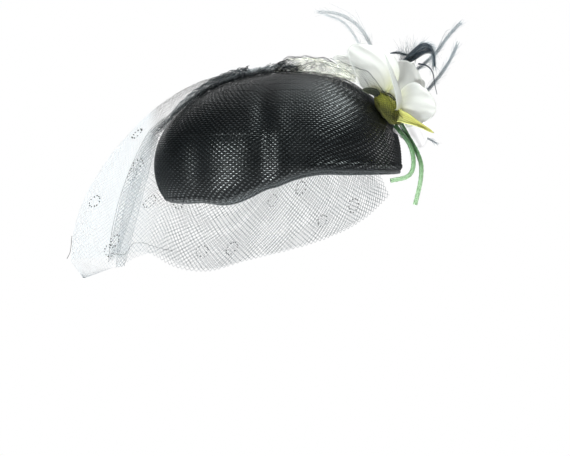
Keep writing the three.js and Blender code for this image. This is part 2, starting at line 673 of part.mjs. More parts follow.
function featherGeometry(feather) {
  const root = calyxPoint(feather.along, feather.round, SEAT_GAP + FEATHER_THICKNESS / 2);
  const line = new THREE.CatmullRomCurve3([
    root, ...feather.via.map(({ x, y, z }) => new THREE.Vector3(x, y, z)),
  ]);
  const points = [];
  const faces = [];
  for (let i = 0; i < FEATHER_STEPS; i += 1) {
    const t = i / FEATHER_STEPS;
    const middle = line.getPointAt(t);
    const across = line.getTangentAt(t).cross(left).normalize();
    const grow = mix(FEATHER_ROOT_SHARE, 1, smooth(0, FEATHER_ROOT_SHARE, t));
    const half = feather.half * grow * (1 - FEATHER_TAPER * t);
    points.push(middle.clone().addScaledVector(across, half));
    points.push(middle.clone().addScaledVector(left, -FEATHER_THICKNESS / 2));
    points.push(middle.clone().addScaledVector(across, -half));
    points.push(middle.clone().addScaledVector(left, FEATHER_THICKNESS / 2));
  }
  points.push(line.getPointAt(1));
  const last = 4 * (FEATHER_STEPS - 1);
  faces.push([0, 2, 1], [0, 3, 2]);
  for (let k = 0; k < 4; k += 1) {
    const n = (k + 1) % 4;
    for (let a = 0; a < last; a += 4) {
      faces.push([a + k, a + n, a + 4 + n], [a + k, a + 4 + n, a + 4 + k]);
    }
    faces.push([last + k, last + n, last + 4]);
  }
  return solid(points, faces);
}

// ---- Assembly ----

const straw = cloth(0x1b2226, 0.35);
const ribbon = cloth(0x14181b, 0.5);
const net = cloth(0x101314, 0.8);
const petalCloth = cloth(0xebece6, 0.6);
const calyxCloth = cloth(0x5f5a1c, 0.7);
const sepalCloth = cloth(0xcfc95e, 0.6);
const tabCloth = cloth(0x3c4623, 0.7);
const stemCloth = cloth(0x7cb873, 0.5);
const quill = cloth(0x35424f, 0.6);

addPiece('crown', crownGeometry(), straw);
addPiece('rim_binding', bindingGeometry(), ribbon);
for (const [name, side, firstStep] of [['veil_left', 1, 0], ['veil_right', -1, -NET_COLUMNS]]) {
  addPiece(name, netGeometry({
    surface: (u, v) => {
      const open = (v - GATHER_ROWS) / (NET_ROWS - GATHER_ROWS);
      const down = open < 0 ? GATHER_SHARE * v / GATHER_ROWS : mix(GATHER_SHARE, 1, open);
      const apart = 1 - smooth(0, CREASE_STEPS, Math.abs(firstStep + u));
      return veilPoint(firstStep + u, down).addScaledVector(left, side * apart * CREASE_GAP / 2);
    },
    columns: NET_COLUMNS,
    rows: NET_ROWS,
    wall: NET_WALL,
    strand: NET_STRAND_SHARE,
    openRow: GATHER_ROWS,
  }), net);
}
addPiece('veil_puff', netGeometry({
  surface: puffPoint,
  columns: PUFF_COLUMNS,
  rows: PUFF_ROWS,
  wall: NET_WALL,
  strand: PUFF_STRAND_SHARE,
  openRow: 0,
}), net);
const tack = addPiece('veil_tack', tackGeometry(), net);
tack.position.set(0, TACK_Y, domeHeightAt(TACK_Y) + SEAT_GAP);
addPiece('calyx', calyxGeometry(), calyxCloth);
for (const petal of PETALS) {
  addPiece(petal.name, bladeGeometry(petal, PETAL_GRID), petalCloth);
}
for (const leaf of LEAVES) {
  const colour = leaf.name === 'sepal' ? sepalCloth : tabCloth;
  addPiece(leaf.name, bladeGeometry(leaf, LEAF_GRID), colour);
}
for (const stem of STEMS) addPiece(stem.name, stemGeometry(stem), stemCloth);
for (const feather of FEATHERS) addPiece(feather.name, featherGeometry(feather), quill);

export default group;
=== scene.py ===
# The looks of a fascinator: a black woven-straw crown with a bound rim, a fine black net veil, and
# a white cloth flower with a yellow sepal, green stems and slate feathers. Millimetres are used
# throughout, in the part's own frame, and turned into metres where a mesh is made.
import math
from itertools import combinations

import bpy
import numpy as np
from mathutils import Matrix, Vector


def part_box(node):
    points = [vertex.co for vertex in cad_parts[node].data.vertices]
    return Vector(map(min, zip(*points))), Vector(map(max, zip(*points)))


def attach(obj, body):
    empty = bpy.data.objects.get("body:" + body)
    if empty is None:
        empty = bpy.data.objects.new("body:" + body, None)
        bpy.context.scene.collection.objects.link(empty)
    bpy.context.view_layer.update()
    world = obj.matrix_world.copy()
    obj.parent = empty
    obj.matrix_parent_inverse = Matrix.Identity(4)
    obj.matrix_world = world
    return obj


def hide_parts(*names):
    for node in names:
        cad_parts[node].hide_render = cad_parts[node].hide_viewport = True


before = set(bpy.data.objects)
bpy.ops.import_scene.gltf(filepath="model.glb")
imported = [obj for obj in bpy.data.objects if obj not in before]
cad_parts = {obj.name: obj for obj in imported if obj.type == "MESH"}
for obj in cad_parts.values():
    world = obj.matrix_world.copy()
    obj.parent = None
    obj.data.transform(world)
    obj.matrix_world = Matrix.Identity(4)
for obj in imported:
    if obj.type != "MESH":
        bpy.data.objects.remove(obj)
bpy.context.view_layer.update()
rng = np.random.default_rng(11)
MM = 0.001
LEFT = np.array([1.0, 0.0, 0.0])


# ---- Small tools ----

def mix(a, b, t):
    return a + (b - a) * t


def smooth(low, high, t):
    k = np.clip((np.asarray(t, float) - low) / (high - low), 0, 1)
    return k * k * (3 - 2 * k)


def unit(v):
    v = np.asarray(v, float)
    return v / np.maximum(np.linalg.norm(v, axis=-1, keepdims=True), 1e-9)


def together(*parts):
    """Arrays brought to one shape and stacked along a new last axis."""
    return np.stack(np.broadcast_arrays(*parts), -1)


def lattice(down, across):
    return np.meshgrid(down, across, indexing="ij")


def spread(down, across):
    """A grid of values over two ranges, each (first, last, count)."""
    return lattice(np.linspace(*down), np.linspace(*across))


def circle(count):
    return 2 * np.pi * np.arange(count) / count


def distance(line):
    """How far along a line, or each of several lines, every point of it lies."""
    far = np.cumsum(np.linalg.norm(np.diff(line, axis=-2), axis=-1), -1)
    return np.concatenate([np.zeros_like(far[..., :1]), far], -1)


def shaken(points, size):
    """The points, each moved a little at random."""
    return points + size * rng.standard_normal(np.shape(points))


def through(points, count):
    """A smooth line of count points through the given ones, evenly spaced."""
    p = np.asarray(points, float)
    p = np.vstack([2 * p[0] - p[1], p, 2 * p[-1] - p[-2]])
    t = np.linspace(0, 1, 24, endpoint=False)[:, None]
    fine = [0.5 * (2 * b + (c - a) * t + (2 * a - 5 * b + 4 * c - d) * t * t
                   + (3 * b - a - 3 * c + d) * t ** 3) for a, b, c, d in zip(p, p[1:], p[2:], p[3:])]
    fine = np.vstack([*fine, p[-2]])
    far = distance(fine)
    at = np.linspace(0, far[-1], count)
    return np.stack([np.interp(at, far, fine[:, k]) for k in range(3)], 1)


def frames(line):
    """For each point of a line its direction, and two directions across it that don't twist."""
    ahead = unit(np.gradient(line, axis=0))
    sides = [unit(np.cross(ahead[0], [0.3, 0.1, 1.0]))]
    for a in ahead:
        sides.append(unit(sides[-1] - a * np.dot(sides[-1], a)))
    sides = np.array(sides[1:])
    return ahead, sides, np.cross(ahead, sides)


def grid_faces(rows, columns, closed=False, looped=False):
    """Quads over points laid out row by row; closed joins the last column to the first, and looped
    the last row to the first."""
    r, c = lattice(np.arange(rows - (not looped)), np.arange(columns - (not closed)))
    right, up = (c + 1) % columns, (r + 1) % rows
    r, up = r * columns, up * columns
    return together(r + c, r + right, up + right, up + c).reshape(-1, 4)


def end_caps(sides, last):
    """The faces over a tube's two ends; last is the number of the last ring's first point."""
    k = np.arange(sides)
    if sides <= 4:
        return [k[None, ::-1], k[None] + last]
    k = k[1:-1]
    return [together(0, k + 1, k), together(last, last + k, last + k + 1)]


def cone(ring, tip):
    """Triangles from a ring of points, taken in order, to one point."""
    return together(ring, np.roll(ring, -1), tip)


def link(name, data):
    made = bpy.data.objects.new(name, data)
    bpy.context.scene.collection.objects.link(made)
    return made


class Shape:
    """Points in millimetres, faces of three or four corners, and a shade and a UV for each point."""

    def __init__(self):
        self.points, self.faces, self.shades, self.uvs, self.count = [], [], [], [], 0

    def add(self, points, faces, shade=0.0, uv=(0.0, 0.0)):
        """Adds points with faces that count from the first of them; returns that point's number."""
        points, start = np.reshape(points, (-1, 3)), self.count
        self.count += len(points)
        self.points.append(points)
        self.faces += [(np.asarray(f, int) + start).tolist() for f in faces if len(f)]
        self.shades.append(np.broadcast_to(np.ravel(shade), len(points)))
        self.uvs.append(np.broadcast_to(np.reshape(uv, (-1, 2)), (len(points), 2)))
        return start

    def piece(self, name, material, slot, replaces=(), wrap=0.0):
        """Makes the object; faces that cross the seam of a UV that wraps round are mended."""
        mesh = bpy.data.meshes.new(name)
        points, faces = np.concatenate(self.points) * MM, [f for group in self.faces for f in group]
        mesh.from_pydata(points.tolist(), [], faces)
        mesh.attributes.new("shade", "FLOAT", "POINT").data.foreach_set("value", np.concatenate(self.shades))
        corners = np.zeros(len(mesh.loops), np.int32)
        mesh.loops.foreach_get("vertex_index", corners)
        uv = np.concatenate(self.uvs)[corners]
        if wrap:
            starts = np.zeros(len(mesh.polygons), np.int32)
            mesh.polygons.foreach_get("loop_start", starts)
            sizes = np.diff(np.append(starts, len(corners)))
            most = np.repeat(np.maximum.reduceat(uv[:, 0], starts), sizes)
            uv[:, 0] += np.where(most - uv[:, 0] > wrap / 2, wrap, 0)
        mesh.uv_layers.new(name="UVMap").data.foreach_set("uv", uv.ravel())
        mesh.polygons.foreach_set("use_smooth", np.ones(len(mesh.polygons), bool))
        mesh.materials.append(material)
        mesh.validate()
        mesh.update()
        made = link(name, mesh)
        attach(made, "root")
        if replaces:
            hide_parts(*replaces)
        return made


def tube(shape, line, radius, sides=5, shade=0.0):
    """A closed tube along a line; its radius and its shade are one number or one for each point."""
    _, a, b = frames(line)
    turn = circle(sides)
    across = np.cos(turn)[None, :, None] * a[:, None] + np.sin(turn)[None, :, None] * b[:, None]
    radius, shade = np.broadcast_to(radius, len(line)), np.broadcast_to(shade, len(line))
    shape.add(line[:, None] + radius[:, None, None] * across,
              [grid_faces(len(line), sides, True), *end_caps(sides, (len(line) - 1) * sides)],
              np.repeat(shade, sides), together(turn / (2 * np.pi), distance(line)[:, None]))


# ---- Materials ----

class Nodes:
    """A node tree, filled one node at a time. A socket takes a number, a colour or another node's output."""

    def __init__(self, tree):
        self.tree = tree

    def feed(self, socket, value):
        if isinstance(value, bpy.types.NodeSocket):
            self.tree.links.new(value, socket)
        else:
            socket.default_value = (*value, 1.0) if socket.type == "RGBA" else value

    def node(self, kind, *values, output=0, **settings):
        """A node whose inputs take the values in order; a setting is one more input or an option."""
        made = self.tree.nodes.new("ShaderNode" + kind)
        for key, value in settings.items():
            if key in made.inputs:
                self.feed(made.inputs[key], value)
            else:
                setattr(made, key, value)
        for socket, value in zip(made.inputs, values):
            self.feed(socket, value)
        return made.outputs[output]

    def math(self, how, *values):
        return self.node("Math", *values, operation=how)

    def sum(self, *terms):
        """The sum of some outputs, each times its weight."""
        total = 0.0
        for weight, source in terms:
            total = self.math("MULTIPLY_ADD", source, weight, total)
        return total

    def range(self, source, low, high, out_low, out_high, **settings):
        return self.node("MapRange", source, low, high, out_low, out_high, **settings)

    def blend(self, how, share, a, b):
        return self.node("MixRGB", share, a, b, blend_type=how)

    def noise(self, scale, detail=3.0, stretch=(1, 1, 1)):
        place = self.node("Mapping", self.node("TexCoord", output="Object"), Scale=stretch)
        return self.node("TexNoise", place, Scale=scale, Detail=detail)

    def ramp(self, source, *stops):
        made = self.node("ValToRGB", source)
        band = made.node.color_ramp
        while len(band.elements) < len(stops):
            band.elements.new(0.5)
        for element, (place, colour) in zip(band.elements, stops):
            element.position, element.color = place, (*colour, 1.0)
        return made

    def shade(self):
        return self.node("Attribute", attribute_name="shade", output="Fac")

    def uv(self):
        return self.node("SeparateXYZ", self.node("UVMap")).node.outputs[:2]


class Look(Nodes):
    """A material; what its shader's sockets take is given by their names."""

    def __init__(self, name, **values):
        self.material = bpy.data.materials.new(name)
        self.material.use_nodes = True
        super().__init__(self.material.node_tree)
        self.shader = self.tree.nodes["Principled BSDF"]
        self.set(**values)

    def set(self, **values):
        for key, value in values.items():
            self.feed(self.shader.inputs[key.replace("_", " ")], value)

    def done(self, colour, height, distance, strength=1.0, through=0.0, behind=None):
        """The material with its colour and bump; some of the light behind a thin cloth shows through."""
        bump = self.node("Bump", Height=height, Strength=strength, Distance=distance)
        self.set(Base_Color=colour, Normal=bump)
        if through:
            back = self.node("BsdfTranslucent", behind or colour)
            self.feed(self.tree.nodes["Material Output"].inputs["Surface"],
                      self.node("MixShader", through, self.shader.outputs[0], back))
        return self.material


WHITE = (1, 1, 1)


def toned(colour, share):
    return tuple(share * c for c in colour)


def straw_material():
    m = Look("lacquered_straw", Roughness=0.45, Specular_IOR_Level=0.2, Coat_Weight=0.9,
             Coat_Roughness=0.17, Coat_IOR=1.75)
    along, down = (m.math("COSINE", m.math("MULTIPLY", way, math.pi)) for way in m.uv())
    fibre = m.noise(900, 4, (0.35, 0.35, 2.5))
    # top is painted light: where a row dips under a strand and between rows the straw is painted near black
    # and has no coat, a painted shade.
    top = m.range(m.shade(), 0.38, 0.9, 0, 1)
    straw = m.blend("MULTIPLY", 0.6,
                    m.ramp(m.noise(60), (0.3, (0.003, 0.004, 0.005)), (0.7, (0.008, 0.011, 0.013))),
                    m.ramp(fibre, (0.3, (0.45, 0.48, 0.5)), (0.7, WHITE)))
    m.set(Roughness=m.range(fibre, 0.3, 0.7, 0.35, 0.55), Coat_Weight=top)
    return m.done(m.blend("MIX", top, (0.0006, 0.0008, 0.001), straw),
                  m.sum((0.4, m.math("MULTIPLY", along, down)), (0.5, fibre)), 0.00018)


def ribbon_material():
    m = Look("bias_binding", Roughness=0.62, Sheen_Weight=0.15, Sheen_Roughness=0.4)
    u, v = m.uv()
    twill = m.math("SINE", m.sum((22.0, u), (5.2, v)))
    cloth = m.ramp(m.noise(180), (0.3, (0.010, 0.011, 0.012)), (0.7, (0.022, 0.024, 0.026)))
    return m.done(m.blend("MIX", m.math("MULTIPLY", twill, 0.4), cloth, (0.030, 0.033, 0.036)),
                  m.sum((1, twill), (0.6, m.noise(1500))), 0.00012)


def thread_material(name, dark, pale):
    """Thread that is sheer, dark where its shade is 0 and pale where it is 1; the pale colour is painted
    light, the glare of the white backdrop on the fine net.
    """
    m = Look(name, Roughness=0.7, Specular_IOR_Level=0.2)
    tone = m.blend("MIX", m.shade(), m.ramp(m.noise(220, 2), (0.35, dark), (0.7, toned(dark, 2.5))),
                   m.ramp(m.noise(160, 2), (0.3, toned(pale, 0.85)), (0.7, pale)))
    return m.done(tone, m.noise(4000, 2), 0.00006, through=0.45)


def petal_material(name, white, base, through):
    m = Look(name, Roughness=0.6, Sheen_Weight=0.25, Sheen_Roughness=0.35)
    u, v = m.uv()
    weave = m.math("MULTIPLY", *(m.math("SINE", m.math("MULTIPLY", way, 420.0)) for way in (u, v)))
    vein = m.math("SINE", m.sum((60.0, u), (6.0, m.noise(90, 2))))
    cloth = m.blend("MULTIPLY", 0.5, m.ramp(m.noise(28, 3), (0.25, toned(white, 0.86)), (0.7, white)),
                    m.ramp(vein, (0.0, (0.975, 0.975, 0.975)), (0.6, WHITE)))
    full = m.blend("MIX", m.shade(), cloth, base)
    return m.done(full, m.sum((0.35, weave), (0.15, vein), (1, m.noise(260, 4))), 0.0003, 0.4, through)


def leaf_material(name, near, far, roughness, through=0.0):
    m = Look(name, Roughness=roughness, Sheen_Weight=0.2)
    rib = m.math("SINE", m.sum((34.0, m.uv()[0]), (5.0, m.noise(120))))
    full = m.blend("MULTIPLY", 0.45, m.blend("MIX", m.shade(), far, near),
                   m.ramp(m.noise(150, 4), (0.3, (0.74, 0.74, 0.64)), (0.68, WHITE)))
    return m.done(full, m.sum((1, rib), (0.8, m.noise(900, 3))), 0.00025, through=through)


def stem_material():
    m = Look("wrapped_stem", Roughness=0.42, Coat_Weight=0.15, Coat_Roughness=0.3)
    u, v = m.uv()
    wrap = m.math("FRACT", m.sum((1, u), (0.24, v)))
    green = m.ramp(m.shade(), (0.0, (0.018, 0.050, 0.014)), (0.3, (0.045, 0.12, 0.04)),
                   (0.6, (0.125, 0.235, 0.105)), (1.0, (0.29, 0.43, 0.25)))
    # Each lap of the wound strip goes from darker to lighter across it, with a mottle.
    lap_tone = m.ramp(m.sum((0.4, wrap), (1, m.noise(300, 3))), (0.4, (0.62, 0.70, 0.55)), (0.85, WHITE))
    return m.done(m.blend("MULTIPLY", 0.55, green, lap_tone),
                  m.sum((0.8, wrap), (0.4, m.noise(1400, 3))), 0.00025)


def feather_material():
    m = Look("dyed_feather", Roughness=0.6, Sheen_Weight=0.4, Sheen_Roughness=0.3)
    tone = m.ramp(m.shade(), (0.0, (0.008, 0.016, 0.032)), (0.3, (0.030, 0.052, 0.080)),
                  (0.6, (0.185, 0.245, 0.29)), (1.0, (0.49, 0.515, 0.53)))
    speckle = m.ramp(m.noise(400, 3), (0.3, (0.6, 0.62, 0.66)), (0.7, WHITE))
    return m.done(m.blend("MULTIPLY", 0.5, tone, speckle), m.noise(2500, 2), 0.0001,
                  through=0.2, behind=tone)


STRAW, RIBBON = straw_material(), ribbon_material()
# The net's pale colour is painted light: black thread painted pale where the backdrop's glare would lighten
# it.
NET = thread_material("net_thread", (0.003, 0.004, 0.005), (0.80, 0.84, 0.87))
CHENILLE = thread_material("chenille", (0.004, 0.004, 0.005), (0.02, 0.02, 0.025))
HAZE = thread_material("fine_net", (0.77, 0.76, 0.71), (0.87, 0.86, 0.82))
PETAL = petal_material("organza_petal", (0.765, 0.748, 0.725), (0.74, 0.722, 0.45), 0.55)
# The lower petal is the same cloth painted lighter, painted light for the brighter light on it, and it lets
# more light through.
LOWER_PETAL_PAINTED_LIT = petal_material("sheer_petal_painted_lit", (0.98, 0.95, 0.95), (0.92, 0.90, 0.78), 0.85)
OLIVE = leaf_material("calyx_cloth", (0.40, 0.39, 0.035), (0.078, 0.074, 0.009), 0.65)
YELLOW = leaf_material("sepal_cloth", (0.82, 0.805, 0.31), (0.60, 0.57, 0.16), 0.5, 0.4)
TAB = leaf_material("leaf_tab_cloth", (0.028, 0.034, 0.008), (0.020, 0.028, 0.010), 0.6)
STEM, PLUME = stem_material(), feather_material()

# ---- The crown's form, as the part's source makes it ----

POLE_Y, EQUATOR_Z, DOME_HEIGHT = 10.0, 20.0, 84.0
CENTRE, TOP_Z = np.array([0, POLE_Y, EQUATOR_Z]), EQUATOR_Z + DOME_HEIGHT
SEMI_FRONT, SEMI_BACK, SEMI_SIDE = 125.5, 101.5, 94.0
PLAN_POWER, FRONT_POWER, BACK_POWER = 2.2, 2.0, 2.3
RIM_FRONT_Z, RIM_BACK_Z, RIM_SLOPE = -14.7, 15.2, (-75, 50)
CURL_FRONT, CURL_BACK, TURN_FRONT, TURN_BACK = 19.0, 0.6, 1.0, 0.4
STRAW_WALL = 2.0
RELIEF = [  # y, z, half-length, half-height, depth
    (-76, 20, 10, 60, -2.0), (-46, 8, 18, 30, 3.0), (-16, 45, 9, 50, -3.0),
    (-2, 34, 8, 34, 2.0), (52, 60, 34, 26, 4.0), (50, 27, 45, 8, -2.0),
]


def outline_radius(h):
    semi = np.where(np.cos(h) > 0, SEMI_FRONT, SEMI_BACK)
    return ((np.abs(np.cos(h)) / semi) ** PLAN_POWER
            + (np.abs(np.sin(h)) / SEMI_SIDE) ** PLAN_POWER) ** (-1 / PLAN_POWER)


def dome_power(h):
    return mix(BACK_POWER, FRONT_POWER, np.maximum(0, np.cos(h)) ** 2)


def rim_height(y):
    return mix(RIM_FRONT_Z, RIM_BACK_Z, smooth(*RIM_SLOPE, y))


def skirt(h):
    depth = EQUATOR_Z - rim_height(POLE_Y - outline_radius(h) * np.cos(h))
    front = smooth(-0.6, 1, np.cos(h))
    turn = mix(TURN_BACK, TURN_FRONT, front) * np.pi / 2
    return turn, depth, depth / np.sin(turn), mix(CURL_BACK, CURL_FRONT, front) / (1 - np.cos(turn))


def relief(h, y, z):
    side = smooth(0.25, 0.7, np.abs(np.sin(h)))
    return side * sum(d * np.exp(-((y - a) / m) ** 2 - ((z - b) / n) ** 2) for a, b, m, n, d in RELIEF)


def place(h, radius, z):
    return together(radius * np.sin(h), POLE_Y - radius * np.cos(h), z)


def profile(h, level):
    radius = outline_radius(h)
    turn, _, high, wide = skirt(h)
    under, angle = np.minimum(level, 0), np.maximum(level, 0) * np.pi / 2
    power = 2 / dome_power(h)
    r = np.where(level < 0, radius - wide * (1 - np.cos(under * turn)),
                 radius * np.maximum(np.cos(angle), 0) ** power)
    z = np.where(level < 0, EQUATOR_Z + high * np.sin(under * turn),
                 EQUATOR_Z + DOME_HEIGHT * np.sin(angle) ** power)
    return r, z


def crown_point(h, level, out=0.0):
    """A point of the crown's outer wall: level is -1 at the rim, 0 at the widest line, 1 at the top."""
    r, z = profile(h, level)
    r0, z0 = profile(h, np.maximum(-1, level - 0.01))
    r1, z1 = profile(h, np.minimum(1, level + 0.01))
    slope = unit(np.stack([r1 - r0, z1 - z0], -1))
    out = relief(h, POLE_Y - r * np.cos(h), z) + out
    return place(h, np.maximum(0, r + out * slope[..., 1]), z - out * slope[..., 0])


# ---- Crown: rows of flat straw that pass over and under upright strands ----

CELL_WIDE, ROW_HIGH = 2.8, 1.95
SKIRT_ROWS, DOME_ROWS = 20, 73
PART_BORDERS = (-SKIRT_ROWS, 13, 36, DOME_ROWS)  # the wall's pieces, which meet at a row's edge
BACK_FALL = 22  # rows by which the weave has fallen at the middle of the back
STRAW_RELIEF, UNDER_SHADE = 0.95, 0.35
SUB_COLUMNS, SUB_ROWS = 4, (0.0, 0.2, 0.5, 0.8)
ROLL_OUT, ROLL_UP, ROLL_HALF = 0.9, 3.6, 1.5  # the rim's edge cord: height, place above the rim, half-width
FEWER_CELLS = 0.86  # a row has fewer cells than the one below once it is this much shorter
INSIDE_COLUMNS, INSIDE_SKIRT_ROWS, INSIDE_DOME_ROWS = 144, 13, 30


def crown_levels(h, rows):
    """The level of each row's place at each heading, counted in rows up from the widest line."""
    level = np.linspace(0, 1, 400)
    side_r, side_z = profile(np.pi / 2, level)
    far = distance(together(side_r, side_z))
    rows, h = lattice(rows, h)
    q = rows - BACK_FALL * smooth(0.2, 1.1, -np.cos(h)) * (1 - np.clip(rows, 0, DOME_ROWS) / DOME_ROWS)
    z = np.interp(np.clip(q, 0, DOME_ROWS) / DOME_ROWS, far / far[-1], side_z)
    share = np.clip((z - EQUATOR_Z) / DOME_HEIGHT, 0, 1)
    dome = np.arcsin(np.clip(share ** (dome_power(h) / 2), 0, 1)) * 2 / np.pi
    turn, _, high, _ = skirt(h)
    drop = np.clip(-np.minimum(q, 0) * ROW_HIGH / high, 0, 1)
    return np.where(q < 0, -np.minimum(np.arcsin(drop) / turn, 1), dome)


def weave_height(u, v):
    """How far the straw stands out at place u across and v up, in cells, and how much painted light it
    gets: the places where a row dips under a strand are painted dark, a painted shade."""
    i, j = np.floor(u + 0.5), np.floor(v)
    a, b = u - i, v - j
    over = np.where((i + j) % 2 == 0, 1.0, -1.0)
    flat = np.clip(1.25 * np.sin(np.pi * b), 0, 1)
    row = 0.33 + 0.17 * over * np.cos(np.pi * a)
    upright = np.where(over < 0, 0.42 * np.clip(1 - 3.2 * np.abs(a), 0, 1), 0)
    seen = 0.5 + 0.5 * over * np.cos(np.pi * a)
    height = flat * np.maximum(row, upright)
    return STRAW_RELIEF * height, np.clip(height / 0.45, 0, 1) * mix(UNDER_SHADE, 1, seen)


def zip_rings(low, high):
    """Triangles between two rings of different counts that start at the same heading."""
    faces, i, j, n, m = [], 0, 0, len(low), len(high)
    while i < n or j < m:
        if j == m or (i < n and (i + 1) / n <= (j + 1) / m):
            faces.append((low[i % n], low[(i + 1) % n], high[j % m]))
            i += 1
        else:
            faces.append((low[i % n], high[(j + 1) % m], high[j % m]))
            j += 1
    return faces


def straw_zones():
    """Bands of rows with one count of cells each: [first row, row after the last, cells]."""
    probe = circle(240)
    zones, cells = [], 0
    for q in range(-SKIRT_ROWS, DOME_ROWS):
        level = crown_levels(probe, np.array([max(0.0, q)]))[0]
        ideal = max(8, 2 * round(distance(crown_point(probe, level))[-1] / CELL_WIDE / 2))
        fewer = cells == 0 or ideal < FEWER_CELLS * cells
        if fewer or q in PART_BORDERS:
            cells = ideal if fewer else cells
            zones.append([q, q + 1, cells])
        zones[-1][1] = q + 1
    return zones


def straw_band(shape, low, high, cells):
    """One band of woven rows; returns its lowest and highest rings of point numbers."""
    rows = (np.arange(low, high)[:, None] + SUB_ROWS).ravel()
    rows = np.append(rows, high) if high < DOME_ROWS else rows[:-1]
    columns = cells * SUB_COLUMNS
    u, h = np.arange(columns) / SUB_COLUMNS, circle(columns)
    level = crown_levels(h, rows)
    height, shade = weave_height(u, rows[:, None] + 1e-6)
    edge = np.abs(rows - np.round(rows)) < 1e-6
    # The edges between rows are painted black, a painted shade in the gaps between them.
    height[edge] = shade[edge] = 0
    above_rim = profile(h, level)[1] - profile(h, np.full_like(h, -1.0))[1]
    roll = ROLL_OUT * np.exp(-((above_rim - ROLL_UP) / ROLL_HALF) ** 2)
    points = crown_point(h, level, (height + roll) * smooth(-1, -0.93, level))
    # Points that would lie below the rim are one with the point above them
    index = np.arange(level.size).reshape(level.shape)
    gone, keep = level <= -1 + 1e-9, index.copy()
    for r in range(len(rows) - 2, -1, -1):
        keep[r] = np.where(gone[r] & gone[r + 1], keep[r + 1], index[r])
    corners = keep.ravel()[grid_faces(len(rows), columns, True)]
    left_flat, right_flat = corners[:, 0] == corners[:, 3], corners[:, 1] == corners[:, 2]
    used = np.zeros(index.size, bool)
    used[corners[~(left_flat & right_flat)]] = used[keep[0]] = used[keep[-1]] = True
    number = np.cumsum(used) - 1
    tris = np.concatenate([corners[left_flat & ~right_flat][:, [0, 1, 2]],
                           corners[~left_flat & right_flat][:, [0, 1, 3]]])
    start = shape.add(points.reshape(-1, 3)[used], [number[corners[~left_flat & ~right_flat]], number[tris]],
                      shade.ravel()[used], together(u, rows[:, None]).reshape(-1, 2)[used])
    return number[keep[0]] + start, number[keep[-1]] + start


def make_crown():
    zones = straw_zones()
    parts, rings = [Shape() for _ in PART_BORDERS[1:]], []
    for part, first, last in zip(parts, PART_BORDERS, PART_BORDERS[1:]):
        bands = [straw_band(part, *zone) for zone in zones if first <= zone[0] < last]
        for (_, top), (bottom, _) in zip(bands, bands[1:]):
            part.faces.append(zip_rings(top, bottom))
        rings.append((bands[0][0], bands[-1][1]))
    lower, _, upper = parts
    tip = upper.add(place(0.0, 0.0, TOP_Z), [], uv=(0, DOME_ROWS))
    upper.faces.append(cone(rings[-1][1], tip).tolist())
    # The inside wall, smooth, with the weave in its material
    level = np.append(np.linspace(-1, 0, INSIDE_SKIRT_ROWS), np.linspace(0, 1, INSIDE_DOME_ROWS)[1:-1])
    level = level[:, None]
    across = np.arange(INSIDE_COLUMNS)
    start = lower.add(crown_point(circle(INSIDE_COLUMNS), level, -STRAW_WALL),
                      [grid_faces(len(level), INSIDE_COLUMNS, True)[:, ::-1]], 0.6,
                      together(across * zones[0][2] / INSIDE_COLUMNS,
                               level * np.where(level < 0, SKIRT_ROWS, DOME_ROWS)))
    top = start + (len(level) - 1) * INSIDE_COLUMNS
    tip = lower.add(place(0.0, 0.0, TOP_Z - STRAW_WALL), [], uv=(0, DOME_ROWS))
    lower.faces.append(cone(top + across, tip)[:, [1, 0, 2]].tolist())
    lower.faces.append([f[::-1] for f in zip_rings(rings[0][0], start + across)])
    for part, name, replaces, wrap in zip(parts, ("crown_straw", "crown_straw_middle", "crown_straw_top"),
                                          (["crown"], (), ()), (60, 30, 30)):
        part.piece(name, STRAW, "straw", replaces, wrap)


BINDING_COLUMNS, BINDING_SIDES = 240, 10
BINDING_RADIUS, BINDING_BELOW, TWILL_PITCH = 1.5, 1.8, 4.0


def make_binding():
    h, rim = circle(BINDING_COLUMNS), np.full(BINDING_COLUMNS, -1.0)
    outer, inner = crown_point(h, rim), crown_point(h, rim, -STRAW_WALL)
    wall = unit(inner - outer)
    onward = outer - crown_point(h, rim + 1 / 3)
    onward = unit(onward - wall * (onward * wall).sum(1, keepdims=True))
    turn, along, around = circle(BINDING_SIDES), np.arange(BINDING_COLUMNS)[:, None], np.arange(BINDING_SIDES)
    swell = BINDING_RADIUS + 0.06 * np.sin(along * 2 * np.pi / 5)
    rings = (((outer + inner) / 2 + onward * BINDING_BELOW)[:, None]
             + (swell * np.cos(turn))[..., None] * wall[:, None]
             + (swell * np.sin(turn))[..., None] * onward[:, None])
    shape = Shape()
    shape.add(rings, [grid_faces(BINDING_COLUMNS, BINDING_SIDES, True, True)],
              uv=together(along / TWILL_PITCH, around * 1.2))
    shape.piece("rim_binding_ribbon", RIBBON, "binding", ["rim_binding"])


# ---- Veil: threads of a diamond net over the same folds as the part's source ----

